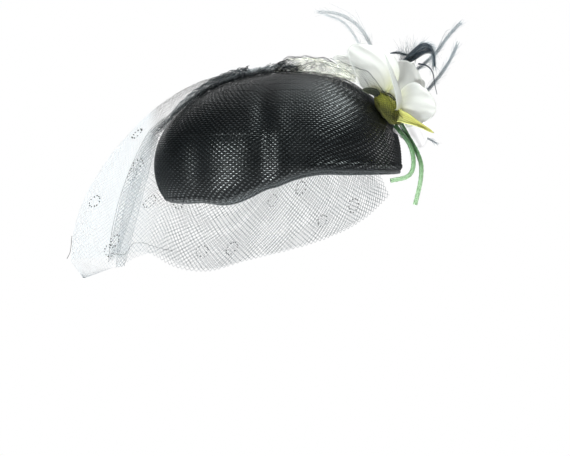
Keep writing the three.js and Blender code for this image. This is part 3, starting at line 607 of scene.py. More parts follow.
NET_GAP = 2.2
UPPER_STRETCH = 1.15
VEIL_KEYS = ("topX", "topY", "browX", "browY", "browZ", "hemX", "hemY", "hemZ", "lift", "bow")
VEIL_FOLDS = [  # step, top edge, brow, hem, lift over the crown, bow below the brow, creased
    (0, 0, -27, 0, -119.6, 69, 0, -193, -67, 11, 19, False),
    (2, 5, -26, 20, -113, 48, 50, -146, -62, 9, 0, True),
    (3, 7, -25, 27, -119, 51, 60, -154, -68, 9, 8, True),
    (4, 8, -23, 58, -88, 42, 80, -122, -59, 6, 4, False),
    (5, 9, -20, 78, -55, 32, 92, -92, -73, 3, 4, False),
    (6, 9, -15, 90, -28, 26, 98, -63, -76, 0, 3, False),
    (7, 8, -8, 94, -6, 24, 102, -31, -67, 0, 2, False),
    (8, 7, 2, 96, 14, 24, 103, 2, -59, 0, 2, False),
    (9, 6, 14, 94, 34, 24, 98, 33, -50, 0, 1, False),
    (10, 6, 28, 88, 52, 24, 87, 60, -39, 0, 1, False),
    (11, 6, 43, 78, 68, 24, 77, 80, -26, 0, 1, False),
    (12, 6, 56, 66, 82, 24, 60, 99, -8, 0, 1, False),
]
FAR_HEM_DROP = 12.0
BELOW_RIM = 5.2  # how far below the rim the net is still kept off the crown's side
STEP_COUNT = 12


def clear_of_crown(points, gap):
    """Moves points out to at least the gap from the crown's smooth form."""
    away = points - CENTRE
    h = np.arctan2(away[..., 0], -away[..., 1])
    flat = np.hypot(away[..., 0], away[..., 1])
    gap = gap + np.maximum(0, relief(h, points[..., 1], points[..., 2]))
    power, radius = dome_power(h), outline_radius(h)
    up, down = np.maximum(away[..., 2], 0), np.maximum(-away[..., 2], 0)
    share = ((flat / radius) ** power + (up / DOME_HEIGHT) ** power) ** (1 / power)
    length = np.linalg.norm(away, axis=-1)
    reach = length / np.maximum(share, 1e-6) + gap
    lifted = CENTRE + unit(away) * reach[..., None]
    _, depth, high, wide = skirt(h)
    wall = radius - wide * (1 - np.sqrt(1 - np.minimum(1, down / high) ** 2)) + gap
    above = away[..., 2] >= 0
    low = ~above & (flat < wall) & (down < depth + BELOW_RIM)
    out = np.where((above & (length < reach))[..., None], lifted, points)
    return np.where(low[..., None], place(h, wall, points[..., 2]), out)


def fold_values(step):
    """The folds' values at any steps between their rows, smooth but for the creased rows."""
    rows = np.array([r[:-1] for r in VEIL_FOLDS], float)
    creased = np.array([r[-1] for r in VEIL_FOLDS])
    i = np.clip(np.searchsorted(rows[:, 0], step), 1, len(rows) - 1)
    span = rows[i, 0] - rows[i - 1, 0]
    t = ((step - rows[i - 1, 0]) / span)[..., None]
    values = rows[:, 1:]

    def slope(at):
        before, after = np.maximum(at - 1, 0), np.minimum(at + 1, len(rows) - 1)
        inner = (at > 0) & (at < len(rows) - 1) & ~creased[at]
        run = np.maximum(rows[after, 0] - rows[before, 0], 1e-9)[..., None]
        return np.where(inner[..., None], (values[after] - values[before]) / run * span[..., None],
                        values[i] - values[i - 1])

    return ((2 * t ** 3 - 3 * t ** 2 + 1) * values[i - 1] + (t ** 3 - 2 * t ** 2 + t) * slope(i - 1)
            + (3 * t ** 2 - 2 * t ** 3) * values[i] + (t ** 3 - t ** 2) * slope(i))


def veil_point(step, down):
    """A point of the veil: step counts folds from the front crease, positive on the left, and down is
    0 at the top edge and 1 at the hem."""
    step, down = np.broadcast_arrays(np.asarray(step, float), np.asarray(down, float))
    away = np.abs(step)
    side = np.where(step < 0, -1.0, 1.0)
    v = dict(zip(VEIL_KEYS, np.moveaxis(fold_values(away), -1, 0)))
    past = np.maximum(0, away - 1.5) / 2
    drop = np.where(step < 0, FAR_HEM_DROP * smooth(0, 1.5, away) * np.exp(-past * past), 0)
    top = together(side * v["topX"], v["topY"], TOP_Z)
    brow = together(side * v["browX"], v["browY"], v["browZ"])
    hem = together(side * v["hemX"], v["hemY"], v["hemZ"] - drop)
    upper = np.linalg.norm(top - brow, axis=-1) * UPPER_STRETCH
    split = upper / (upper + np.linalg.norm(brow - hem, axis=-1))
    t = np.clip(down / split, 0, 1)[..., None]
    k = np.clip((down - split) / (1 - split), 0, 1)[..., None]
    high, low = mix(top, brow, t), mix(brow, hem, k)
    high[..., 2] += (4 * v["lift"][..., None] * t * (1 - t))[..., 0]
    outward = unit((low - CENTRE) * [1, 1, 0])
    low = low + outward * 4 * v["bow"][..., None] * k * (1 - k)
    return clear_of_crown(np.where((down <= split)[..., None], high, low), NET_GAP)


HALF_DIAMOND = 2.12
THREAD_RADIUS, EDGE_RADIUS, SELVAGE_RADIUS = 0.178, 0.2, 0.22


def net(shape, points, radius=THREAD_RADIUS, shade=0.0, valid=True):
    """Both families of crossing threads over a grid of knots; each thread takes every diagonal step."""
    ni, nj = points.shape[:2]
    thick, shades, valid = (np.broadcast_to(each, (ni, nj)) for each in (radius, shade, valid))
    normal = unit(np.cross(np.gradient(points, axis=0), np.gradient(points, axis=1)))
    for lean in (1, -1):
        flip = slice(None, None, lean)
        p, n, ok, thin = points[flip], normal[flip], valid[flip], thick[flip][..., None]
        ahead, behind = np.zeros((2, ni, nj), bool)
        ahead[:-1, :-1] = behind[1:, 1:] = ok[:-1, :-1] & ok[1:, 1:]
        after, before = p.copy(), p.copy()
        after[:-1, :-1] = np.where(ahead[:-1, :-1, None], p[1:, 1:], p[:-1, :-1])
        before[1:, 1:] = np.where(behind[1:, 1:, None], p[:-1, :-1], p[1:, 1:])
        along = unit(after - before)
        across = unit(np.cross(n, along))
        up = np.cross(along, across)
        used = ahead | behind
        number = 3 * (np.cumsum(used).reshape(ni, nj) - 1)
        rings = np.stack([p + thin * (np.cos(a) * across + np.sin(a) * up) for a in circle(3) + 0.5], 2)
        here, there = number[:-1, :-1][ahead[:-1, :-1]], number[1:, 1:][behind[1:, 1:]]
        faces = [together(here + k, here + (k + 1) % 3, there + (k + 1) % 3, there + k) for k in range(3)]
        first, last = number[used & ~behind], number[used & ~ahead]
        faces += [together(first, first + 2, first + 1), together(last, last + 1, last + 2)]
        shape.add(rings[used], faces, np.repeat(shades[flip][used], 3))


STEPS = np.linspace(-STEP_COUNT, STEP_COUNT, 481)
FAR_ROUND = distance(veil_point(STEPS, 1.0))  # along the hem, from the front crease
FAR_ROUND = FAR_ROUND - np.interp(0, STEPS, FAR_ROUND)
TABLE_STEPS, TABLE_DOWN = np.linspace(-STEP_COUNT, STEP_COUNT, 193), np.linspace(1, 0, 161)
TABLE_FAR = distance(veil_point(TABLE_STEPS[:, None], TABLE_DOWN))  # up from the hem, at each step


def on_net(round_mm, up_mm):
    """A point of the cloth: round_mm along the hem from the front crease, up_mm up from the hem."""
    round_mm, up_mm = np.broadcast_arrays(np.asarray(round_mm, float), np.asarray(up_mm, float))
    step = np.interp(round_mm, FAR_ROUND, STEPS)
    last = len(TABLE_STEPS) - 1
    k = np.clip(np.round((step + STEP_COUNT) / (2 * STEP_COUNT) * last).astype(int), 0, last)
    down = np.empty(step.shape)
    for which in np.unique(k):
        here = k == which
        down[here] = np.interp(up_mm[here], TABLE_FAR[which], TABLE_DOWN)
    return veil_point(step, down)


def fold_length(round_mm):
    return np.interp(np.interp(round_mm, FAR_ROUND, STEPS), TABLE_STEPS, TABLE_FAR[:, -1])


def over_crown(p, gap):
    """Points drawn down to the gap above the crown."""
    return clear_of_crown(CENTRE + 0.6 * (p - CENTRE), gap)


def drawn_close(step, down, gap):
    """Threads drawn close to the crown between the tack and the brow, where they run into the pleats."""
    side = np.where(step < 0, -1.0, 1.0)
    step = mix(step, side * (2 + 0.4 * np.abs(step)), smooth(0.05, 0.36, down))
    p = veil_point(step, down)
    return mix(over_crown(p, gap), p, smooth(0.36, 0.46, down)[..., None])


# The shade of a layer, here and in the tack's layers below, is how pale its threads are painted: painted
# light.
GATHER_LAYERS = ((3.2, 0.47, 3.0, 0.1), (6.4, 0.44, 2.6, 0.3))  # gap, end, half-width in folds, shade
TACK_LAYERS = ((2.4, 0.1), (4.8, 0.3), (7.0, 0.6))  # gap, shade
BUNCHED_THREADS, BUNCHED_POINTS, TACK_CURLS, CURL_POINTS = 38, 60, 190, 10
GATHER_COLUMNS, GATHER_ROWS = 5, 64  # knots across a layer, and along the whole drop of the veil
LEAST_GAP = 1.6  # for loose net over the crown


def gathers(shape):
    """The net in front of the tack, drawn together: open crumpled layers with bunched threads over
    them."""
    for lift, last, wide, shade in GATHER_LAYERS:
        step, down = spread((-wide, wide, GATHER_COLUMNS), (0, last, int(GATHER_ROWS * last)))
        waves = 0.8 * np.sin(down * 70 + 2.1 * step + lift) + 0.7 * np.sin(down * 31 - 3 * step)
        p = drawn_close(shaken(step, 0.1), down, lift + waves)
        net(shape, shaken(p, 0.8), mix(0.19, 0.1, smooth(0.1, last, down)), shade)
    for k in range(BUNCHED_THREADS):
        side = 1 if k % 2 else -1
        last = rng.uniform(0.16, 0.5)
        down = np.linspace(0, last, BUNCHED_POINTS)
        step = side * np.clip(rng.uniform(0.1, 2.8) + 0.25 * np.sin(down * rng.uniform(20, 60) + k), 0.02, 4)
        high = rng.uniform(0, 1) ** 1.2
        wave = np.sin(down * rng.uniform(70, 220) + k) * mix(1.1, 0.5, smooth(0.2, 0.4, down))
        line = drawn_close(step, down, 2.4 + high * mix(9.5, 6.5, smooth(0.1, 0.33, down)) + wave)
        thick = rng.uniform(0.16, 0.42) * mix(1, 0.7, smooth(0.05, last, down))
        # Threads that stand higher, or lie further down, are painted paler: painted light.
        tube(shape, shaken(line, 0.15), thick, 3,
             np.clip(0.15 * high + 0.3 * smooth(0.2, 0.45, down), 0, 1))
    # The net's end is drawn over the tack and into the puff
    for lift, shade in TACK_LAYERS:
        x, y = spread((-9, 9, 9), (-62, 16, 32))
        gap = lift * (1 - 0.5 * ((y + 10) / 52) ** 2) + 1.0 * np.sin(y * 0.55 + x * 0.4 + lift)
        p = over_crown(together(x, y, TOP_Z), gap + 0.8 * np.sin(y * 0.23 - x * 0.8))
        p = clear_of_crown(shaken(p, 0.6), LEAST_GAP)
        net(shape, p, 0.14, shade, rng.random(x.shape) < 1.6 - 0.012 * np.abs(y + 10) - 0.05 * np.abs(x))
    for _ in range(TACK_CURLS):
        k = np.linspace(0, 1, CURL_POINTS)
        y = rng.uniform(-66, 22)
        x = rng.uniform(-6, 14)
        size, bend = rng.uniform(1.2, 4), rng.uniform(3, 8)
        line = together(x + size * np.cos(k * bend + x), y + size * np.sin(k * bend), TOP_Z)
        gap = rng.uniform(1.8, 3 + 6.5 * math.exp(-((y + 6) / 34) ** 2)) + 1.4 * np.sin(k * bend * 1.3)
        tube(shape, over_crown(line, np.maximum(1.5, gap)), rng.uniform(0.12, 0.26), 3, rng.uniform(0, 0.3))


RING_SPACING, RING_ROW, RING_ROWS, RING_FROM_HEM, RING_PHASE = 125.0, 37.0, 5, 17.0, 79.0
RING_RADIUS, RING_DOTS, DOT_RADIUS, DOT_STRAY = 5.5, 11, 0.68, 0.4
GOLDEN = 1.618
ICO = unit(np.array([np.roll((0, s, t * GOLDEN), -k) for k in range(3) for s in (-1, 1) for t in (-1, 1)]))
ICO_EDGE = 1.0515  # for corners 1 from the middle
TURNED_UP, TURNED_UP_APEX = -52.0, np.array([-4.0, -181.0, -84.0])  # the front corner of the hem
CUT_EDGE = [(61, -154.6, -61.6), (66, -146, -61), (70, -138, -60.7), (75, -130.6, -51.5), (80, -119, -52),
            (84, -110, -55), (90, -96, -58)]


def dot_faces():
    """The dot's triangles: every three of its corners that lie one edge apart, facing outward."""
    faces = []
    for three in combinations(range(len(ICO)), 3):
        a, b, c = ICO[list(three)]
        if all(abs(np.linalg.norm(p - q) - ICO_EDGE) < 0.01 for p, q in ((a, b), (b, c), (a, c))):
            faces.append(three if np.dot(np.cross(b - a, c - a), a) > 0 else three[::-1])
    return np.array(faces)


def veil_cloth(shape):
    """The whole net, whose knots lie evenly round the hem and up from it, with a little sway."""
    pitch = 2 * HALF_DIAMOND
    columns = int((FAR_ROUND[-1] - FAR_ROUND[0]) // pitch)
    round_mm = (FAR_ROUND[0] + FAR_ROUND[-1]) / 2 + (np.arange(columns + 1) - columns / 2) * pitch
    lengths = fold_length(round_mm)[:, None]
    r, u = lattice(round_mm, np.arange(int(lengths.max() // pitch) + 1) * pitch)
    sway = shaken(1.3 * np.sin(u / 19.0 + r / 31) * smooth(0, 30, u), 0.12)
    rise = shaken(1.5 * np.sin(r / 22.0) * smooth(0, 60, u), 0.12)
    points = shaken(on_net(r + sway, np.clip(u + rise, 0, None)), 0.1)
    over = smooth(-6, 2, points[..., 2] - rim_height(points[..., 1])) * smooth(-122, -110, points[..., 1])
    away = np.abs(np.interp(r, FAR_ROUND, STEPS))
    front = 1 - smooth(85, 150, np.abs(r))
    share = u / lengths
    band = smooth(1.8, 2.1, away) * (1 - smooth(3.05, 3.6, away)) * (1 - smooth(0.5, 0.62, share))
    panel = np.maximum(1 - smooth(1.8, 2.1, away), smooth(0.55, 0.7, share) * (1 - smooth(3.6, 4.5, away)))
    # Where the front panel is drawn together its threads are finer, so that it stays as open as the rest
    spread = np.linalg.norm(np.gradient(points, axis=0), axis=-1) / pitch
    fine = mix(1, np.clip(1.3 * spread ** 1.8, 0.05, 1), panel)
    thick = mix(1, 0.72, front) * mix(1, 0.62, over * (1 - panel) * (1 - band)) * fine * mix(1, 1.15, band)
    # How pale each thread is painted: pale in front, half pale in the pleat band, dark over the crown; the
    # paleness is painted light, the backdrop's glare through the net.
    shade = mix(mix(0.35, 0.97, front), 0.55, band) * (1 - over)
    net(shape, points, THREAD_RADIUS * thick, shade, u <= lengths)


def veil_edges(shape):
    """The corner of the hem that is turned up at the front, and the threads of the cut edges."""
    across, down = spread((0, 1, 16), (0, 1, 9))
    p = shaken(mix(on_net(TURNED_UP * across, 0.0), TURNED_UP_APEX, (0.97 * down)[..., None]), 0.1)
    p[..., 0] -= 2.5 * np.sin(np.pi * down)
    # The turned-up corner's threads, and the threads at its sides, are painted pale: painted light, as over
    # the front of the net.
    net(shape, p, 0.08, 0.9)
    for end in (0.0, TURNED_UP):
        foot = on_net(end, 0.0)
        half_way = mix(foot, TURNED_UP_APEX, 0.5) - 1.2 * LEFT
        tube(shape, through([foot, half_way, TURNED_UP_APEX], 16), 0.1, 3, 0.8)
    tube(shape, shaken(through(CUT_EDGE, 60), 0.3), EDGE_RADIUS, 3, 0.15)
    front = [on_net(0.0, 22.0), on_net(0.0, 8.0), on_net(0.0, 0.0) + [0, -3, 1]]
    tube(shape, through(front, 14), SELVAGE_RADIUS, 4)


def veil_rings():
    """Rings of dots in rows up from the hem, but none where the net lies on the crown."""
    dots, faces, turns = Shape(), dot_faces(), circle(RING_DOTS)
    for m in range(RING_ROWS):
        height = RING_FROM_HEM + m * RING_ROW
        for centre in RING_PHASE + (m % 2 / 2 + np.arange(-8, 8)) * RING_SPACING:
            if not FAR_ROUND[0] + 8 < centre < FAR_ROUND[-1] - 8 or height > 0.8 * fold_length(centre):
                continue
            turn = turns + centre
            places = on_net(shaken(centre + RING_RADIUS * np.sin(turn), DOT_STRAY),
                            shaken(height + RING_RADIUS * np.cos(turn), DOT_STRAY))
            if np.linalg.norm(places.mean(0) - clear_of_crown(places, 9.0).mean(0)) > 2:
                continue
            for p in places:
                dots.add(p + ICO * DOT_RADIUS * (0.85 + 0.3 * rng.random()), [faces])
    return dots.piece("veil_dots", CHENILLE, "net")


def make_veil():
    shape = Shape()
    veil_cloth(shape)
    # The pleat's two folds, where the net turns back on itself; their threads are painted part pale, painted
    # light.
    for side in (1, -1):
        for fold, shade in ((3.0, 0.25), (2.0, 0.5)):
            line = veil_point(side * fold, np.linspace(0.42, 1, 90))
            tube(shape, shaken(line, 0.12), EDGE_RADIUS, 3, shade)
    gathers(shape)
    veil_edges(shape)
    return shape.piece("veil_net", NET, "net", ["veil_left", "veil_right"]), veil_rings()


# ---- Puff and tack ----

PUFF_RIDGE = np.array([(-5, 112), (8, 119), (26, 120), (40, 118.5), (54, 112), (70, 100.5)])  # y, z
PUFF_HALF_WIDTH, PUFF_FOOT_GAP = 24.0, 2.9
TAIL_TOP = [(38, 52, 115), (48, 60, 110.5), (56, 68, 107), (60, 80, 102), (60, 88.3, 91.5), (57, 96.1, 81),
            (54, 103.5, 69.9), (52, 111, 61)]
TAIL_LOW = [(36, 50, 101), (46, 58, 97), (54, 67, 94), (58, 76, 87), (57, 83.7, 79), (54, 90, 71),
            (50, 96, 62), (47, 101, 55)]
TAIL_RIM = [(20, 46, 117), (34, 57, 112), (46, 68, 105), (53, 76, 97), (56, 80, 90)]
PUFF_KNOTS, HAZE_KNOTS, TAIL_KNOTS = (32, 24), (35, 27), (40, 9)
HAZE_SCALE, HAZE_RADIUS = 0.93, 0.11
SELVAGES = ((-0.25, 1.0), (0.2, -1.2), (0.5, 0.8))  # place across the puff, wave
PUFF_CURLS = 90
TACK_RADIUS, TACK_THREAD, TACK_TURNS, TACK_TILT = 3.3, 0.38, 9, 0.5


def puff_point(t, side, scale=1.0):
    """A point of the puff: t from its front to its back, side from -1 to 1 across it."""
    angle = np.pi / 2 * side
    at = np.clip(t, 0, 1) * (len(PUFF_RIDGE) - 1)
    y, z = (np.interp(at, np.arange(len(PUFF_RIDGE)), way) for way in PUFF_RIDGE.T)
    narrow = mix(0.55, 1, np.sin(np.pi * np.clip(t, 0, 1)) ** 0.7)
    p = together(PUFF_HALF_WIDTH * narrow * np.sin(angle) * scale, y,
                 TOP_Z + (z - TOP_Z) * np.cos(angle) * scale - 6 * np.sin(angle) ** 2)
    return clear_of_crown(p, PUFF_FOOT_GAP)


def ragged(t, side, reach):
    """Which knots of the puff are there: its edges come and go."""
    edge = np.abs(side) ** 3 + np.abs(2 * t - 1) ** 4
    frill = 0.22 * np.sin(9 * t + 5 * side) + 0.16 * np.sin(23 * t - 11 * side)
    return shaken(edge + frill, 0.12) < reach


def puff_tail(shape, haze):
    """The puff's end, drawn out over the flower's foot, with a thread along its edges."""
    count, wide = TAIL_KNOTS
    across = np.linspace(0, 1, wide)[:, None]
    top = through(TAIL_TOP, count)
    p = mix(top[:, None], through(TAIL_LOW, count)[:, None], across)
    p[..., 0] += 2.5 * np.sin(np.pi * across[:, 0]) + 0.5 * np.sin(np.arange(count) * 0.9)[:, None]
    p = clear_of_crown(shaken(p, 0.2), LEAST_GAP)
    net(shape, p[::2], 0.075)
    net(haze, p[:15] - 0.5 * LEFT, HAZE_RADIUS)
    k = np.arange(count)[:, None]
    tube(shape, top + 0.3 * np.sin(k * [1.7, 0.9, 1.3]), SELVAGE_RADIUS, 4)
    tube(shape, through(TAIL_RIM, count) + 0.4 * np.sin(k * [0.8, 1.9, 1.1]), SELVAGE_RADIUS, 4)


def make_puff():
    shape, haze = Shape(), Shape()
    t, side = spread((0, 1, PUFF_KNOTS[0]), (-1, 1, PUFF_KNOTS[1]))
    p = puff_point(t + 0.012 * np.sin(side * 9), side + 0.05 * np.sin(t * 17))
    p[..., 2] += (0.5 * np.sin(t * 21 + side * 4) + 0.5 * np.sin(side * 13)) * (1 - side ** 2)
    p = clear_of_crown(shaken(p, 0.45), LEAST_GAP)
    net(shape, p, mix(0.14, 0.075, smooth(0.05, 0.4, t)), valid=ragged(t, side, 1.5))
    t, side = spread((0.01, 0.98, HAZE_KNOTS[0]), (-0.95, 0.95, HAZE_KNOTS[1]))
    p = puff_point(t, side, HAZE_SCALE)
    p[..., 2] += 0.4 * np.sin(t * 26 + 3 * side)
    there = ragged(t, side, 1.3) & (rng.random(t.shape) < 0.2 + smooth(0.05, 0.4, t))
    net(haze, clear_of_crown(shaken(p, 0.25), LEAST_GAP), HAZE_RADIUS, valid=there)
    puff_tail(shape, haze)
    # Selvages that run over the puff, and curls of loose thread
    for side, wave in SELVAGES:
        t = np.linspace(0.12, 0.99, 34)
        line = puff_point(t, side + 0.08 * np.sin(t * 9 * wave), 1.02)
        line[:, 2] += 0.5 + 0.9 * np.sin(t * 15 + wave)
        tube(shape, line, 0.24, 4)
    for _ in range(PUFF_CURLS):
        t, side = 0.95 * rng.uniform(0.02, 1) ** 1.5, rng.uniform(-0.9, 0.9)
        k = np.linspace(0, 1, CURL_POINTS)
        t, side = (t + 0.05 * np.cos(k * 5 + t * 40) * rng.uniform(0.4, 1.2),
                   side + 0.12 * np.sin(k * 6 + side * 30) * rng.uniform(0.5, 1.4))
        tube(shape, puff_point(t, side, rng.uniform(0.6, 1.03)) + [0, 0, 0.3], 0.14, 3)
    shape.piece("puff_net", NET, "net", ["veil_puff"])
    haze.piece("puff_inner_net", HAZE, "net")


def make_tack():
    """The thread that holds the net down, wound in rings that lean a little each way."""
    shape = Shape()
    low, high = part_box("veil_tack")
    centre = np.array((low + high) / 2) / MM
    turn = np.linspace(0, 2 * np.pi, 22)
    ring = together(TACK_RADIUS * np.cos(turn), TACK_RADIUS * np.sin(turn), 0.25 * np.sin(3 * turn))
    for k in range(TACK_TURNS):
        tilt = np.array(Matrix.Rotation(rng.uniform(-TACK_TILT, TACK_TILT), 3, "X")
                        @ Matrix.Rotation(rng.uniform(-TACK_TILT, TACK_TILT), 3, "Y"))
        tube(shape, ring @ tilt.T * [1, 1, 0.7] + centre + [0, 0, -1.6 + 0.42 * k], TACK_THREAD)
    shape.piece("tack_thread", NET, "net", ["veil_tack"])


# ---- Flower: calyx, petals and leaves ----

CALYX_CENTRE = np.array([41.0, 98.2, 70.7])
CALYX_SLOPE = math.radians(52)
CALYX_AXIS = np.array([0, math.cos(CALYX_SLOPE), -math.sin(CALYX_SLOPE)])
CALYX_OUT = np.array([0, math.sin(CALYX_SLOPE), math.cos(CALYX_SLOPE)])
CALYX_LENGTH, CALYX_GIRTH = 36.0, 17.0
CALYX_ROWS, CALYX_SIDES = 30, 36
CALYX_THREADS = 16


def calyx_point(share, round_deg, gap=0.0):
    """A point of the calyx: share from -1 at its head to 1, and the angle round it from its outside."""
    share, turn = np.broadcast_arrays(np.asarray(share, float), np.radians(round_deg))
    reach = CALYX_GIRTH / 2 * np.sqrt(np.maximum(0, 1 - share ** 2)) + gap
    return (CALYX_CENTRE + (share * (CALYX_LENGTH / 2 + gap))[..., None] * CALYX_AXIS
            + (reach * np.cos(turn))[..., None] * CALYX_OUT + (reach * np.sin(turn))[..., None] * LEFT)


def make_calyx():
    """The lumpy pad of cloth that the petals and stems come out of, with a crease along it."""
    share = -np.cos(np.pi * np.arange(1, CALYX_ROWS) / CALYX_ROWS)[:, None]
    turn, ring = circle(CALYX_SIDES), np.arange(CALYX_SIDES)
    lump = (0.5 * np.sin(3 * turn + 5 * share) + 0.45 * np.sin(5 * turn - 7 * share + 1)
            + 0.35 * np.sin(2 * turn + 13 * share) + 0.25 * np.sin(9 * turn + 4 * share))
    crease = -0.9 * np.exp(-((turn - 1.9 - 0.5 * share) / 0.12) ** 2)
    out = np.maximum(0, lump * 0.8 + 0.4) + crease
    # The cloth is painted lighter on its upper, outer side and towards its head, darker underneath: painted
    # light and shade.
    light = np.clip(0.15 + 0.9 * smooth(-0.3, 0.7, -share * 0.6 + 0.6 * np.cos(turn - 0.2)), 0, 1)
    shape = Shape()
    shape.add(calyx_point(share, np.degrees(turn), out * np.sqrt(1 - share ** 2)),
              [grid_faces(CALYX_ROWS - 1, CALYX_SIDES, True)], light, together(turn / (2 * np.pi), share))
    head = shape.add(calyx_point([-1.0, 1.0], 0.0), [], [0.2, 0.0], [[0, -1], [0, 1]])
    shape.faces += [cone(ring, head)[:, ::-1].tolist(), cone(head - CALYX_SIDES + ring, head + 1).tolist()]
    shape.piece("calyx_cloth", OLIVE, "calyx", ["calyx"], wrap=1.0)


def make_calyx_net():
    """A scrap of the veil drawn over the calyx."""
    shape = Shape()
    share, around = spread((-0.95, 0.8, 14), (-35, 130, 12))
    net(shape, shaken(calyx_point(share, around, 1.7), 0.2), 0.14)
    for _ in range(CALYX_THREADS):
        k = np.linspace(0, 1, 9)
        along, around = rng.uniform(-0.9, 0.7), rng.uniform(10, 100)
        line = calyx_point(along + 0.16 * np.sin(k * 6 + around), around + 16 * np.cos(k * 5), 2.0)
        tube(shape, line, 0.15, 3)
    shape.piece("calyx_net", NET, "net")


PETALS = {  # foot along and round the calyx, tip, half-width, cup, turn of the blade
    "petal_top": (-0.75, 30, (52, 62, 125), 20, 6, 0),
    "petal_fold": (0.3, 60, (62, 93.8, 118.7), 6, 1, 60),
    "petal_upper": (-0.2, 4, (39, 113.5, 114), 21, 3, 0),
    "petal_right": (0.22, 26, (51, 140.5, 67), 21, 4, 0),
    "petal_lower": (0.45, -50, (29, 129, 35.5), 17, 2, 0),
    "petal_back_left": (-0.55, -22, (30, 48.5, 117.2), 12, 3, 0),
    "petal_back_right": (0.1, -16, (33, 130.4, 96.3), 12, 3, 0),
    "petal_back_up": (-0.2, -30, (25, 121.9, 112.5), 9, 2, 0),
}
SEPAL = (0.6, 66, (59, 138.5, 47.8), 4.6, 1.5, 10)
LEAF_TAB = (-0.82, 92, (58, 73.8, 86.6), 3.2, 0.8, 0)
BLADE_RISE, BLADE_ROUND = 0.3, 0.28
PETAL_ENDS, SEPAL_ENDS = (1.0, 0.82), (6.0, 0.4)  # half-width at the foot, and width kept at the tip
PETAL_WALL, LEAF_WALL, SMALL_PETAL = 0.5, 1.0, 10
# The share of the length at which a blade is widest, its cells across and along, its ripple, and how
# far its edge is rolled
LARGE_CUT, SMALL_CUT = (0.7, (48, 44), 1.5, 1.0), (0.7, (16, 40), 0.5, 0.3)
SEPAL_CUT, TAB_CUT = (0.4, (18, 40), 0.35, 0.8), (0.4, (10, 18), 0.3, 0.4)


def blade(spec, ends, wide, u, v, ripple, roll, phase):
    """A blade from its foot to a round tip: u across it and v along it, both from 0 to 1."""
    along, around, tip, half, cup, turn = spec
    foot = calyx_point(along, around, 0.3)
    rise = calyx_point(along, around, np.linalg.norm(tip - foot) * BLADE_RISE)
    edge = 2 * u - 1
    t = np.clip(v * (1 - BLADE_ROUND * edge * edge), 0, 1)[..., None]
    spine = (1 - t) ** 2 * foot + 2 * t * (1 - t) * rise + t * t * np.array(tip)
    tangent = unit(2 * (1 - t) * (rise - foot) + 2 * t * (tip - rise))
    across = unit(np.cross(tangent, LEFT))
    face = unit(np.cross(across, tangent))
    angle = math.radians(turn)
    across = across * math.cos(angle) + np.cross(tangent, across) * math.sin(angle)
    grow = np.sin(np.pi / 2 * np.minimum(1, v / wide))
    width = mix(ends[0], half, grow) * mix(1, ends[1], smooth(wide, 1, v))
    rim = np.maximum(np.abs(edge), v)
    wave = (np.sin(edge * 6.3 + phase) * 0.5 + np.sin(edge * 13 + v * 5 + phase * 2.3) * 0.35
            + np.sin(v * 15 + edge * 4 + phase) * 0.25 * np.abs(edge))
    pleat = np.sin(edge * 17 + phase * 1.7 + 2 * v) * 0.09 * smooth(0.05, 0.3, v) * (1 - 0.7 * v)
    out = (cup * edge * edge * grow + ripple * (wave * smooth(0.35, 1, rim) + pleat)
           + roll * smooth(0.8, 1, rim) ** 2)
    return spine + across * (edge * width)[..., None] + face * out[..., None]


def cloth_blade(name, spec, material, slot, cut, wall, phase, tint, ends=PETAL_ENDS):
    """A blade of cloth with its thickness; tint gives the shade at each place of it."""
    wide, (columns, rows), ripple, roll = cut
    v, u = spread((0, 1, rows + 1), (0, 1, columns + 1))
    middle = blade(spec, ends, wide, u, v, ripple, roll, phase)
    normal = unit(np.cross(np.gradient(middle, axis=1), np.gradient(middle, axis=0)))
    half = normal * (wall / 2 * (1 + 0.25 * np.sin(9 * u + 7 * v + phase)))[..., None]
    faces, at = grid_faces(rows + 1, columns + 1), np.arange(u.size).reshape(u.shape)
    ring = np.concatenate([at[0, :], at[1:, -1], at[-1, -2::-1], at[-2:0:-1, 0]])
    after = np.roll(ring, -1)
    edge = together(ring, ring + u.size, after + u.size, after)
    shape = Shape()
    shape.add([middle + half, middle - half], [faces, faces[:, ::-1] + u.size, edge],
              [tint(u, v)] * 2, [together(u, v)] * 2)
    shape.piece(name + "_cloth", material, slot, [name])


def make_petals():
    for k, (name, spec) in enumerate(PETALS.items()):
        cloth_blade(name, spec, LOWER_PETAL_PAINTED_LIT if name == "petal_lower" else PETAL, "petal",
                    SMALL_CUT if spec[3] < SMALL_PETAL else LARGE_CUT, PETAL_WALL, 1.3 * k + 0.4,
                    lambda u, v: np.clip(1.05 - v / 0.55, 0, 1) ** 1.4 * (0.7 + 0.3 * np.cos(7 * u)))
    cloth_blade("sepal", SEPAL, YELLOW, "sepal", SEPAL_CUT, LEAF_WALL, 2.0,
                lambda u, v: np.clip(0.85 - 0.9 * v + 0.35 * np.cos(4 * u + 2), 0, 1), SEPAL_ENDS)
    cloth_blade("leaf_tab", LEAF_TAB, TAB, "leaf", TAB_CUT, LEAF_WALL, 0.7, lambda u, v: v)


# ---- Stems ----

STEM_RADIUS, STEM_BORE, STEM_SIDES, WRAP_PITCH = 2.1, 1.4, 24, 4.2
BORE_RINGS = (-1, -6, -14)  # the rings of the stem between which its end is hollow
STEMS = {  # foot along and round the calyx, and the way down
    "stem_long": (0.95, 90, [
        (43.6, 115.9, 45.1), (43.4, 123.3, 32.2), (43, 127.4, 21.2), (42.6, 127.9, 12), (42, 126.5, 0.9),
        (41, 122.4, -16.6)]),
    "stem_bent": (0.84, 150, [
        (48, 112.2, 45.1), (49, 117.8, 35.9), (49, 120.5, 24.8), (49, 119.6, 14.7), (50.5, 114.1, 8.3),
        (53, 99.8, 4.9)]),
}


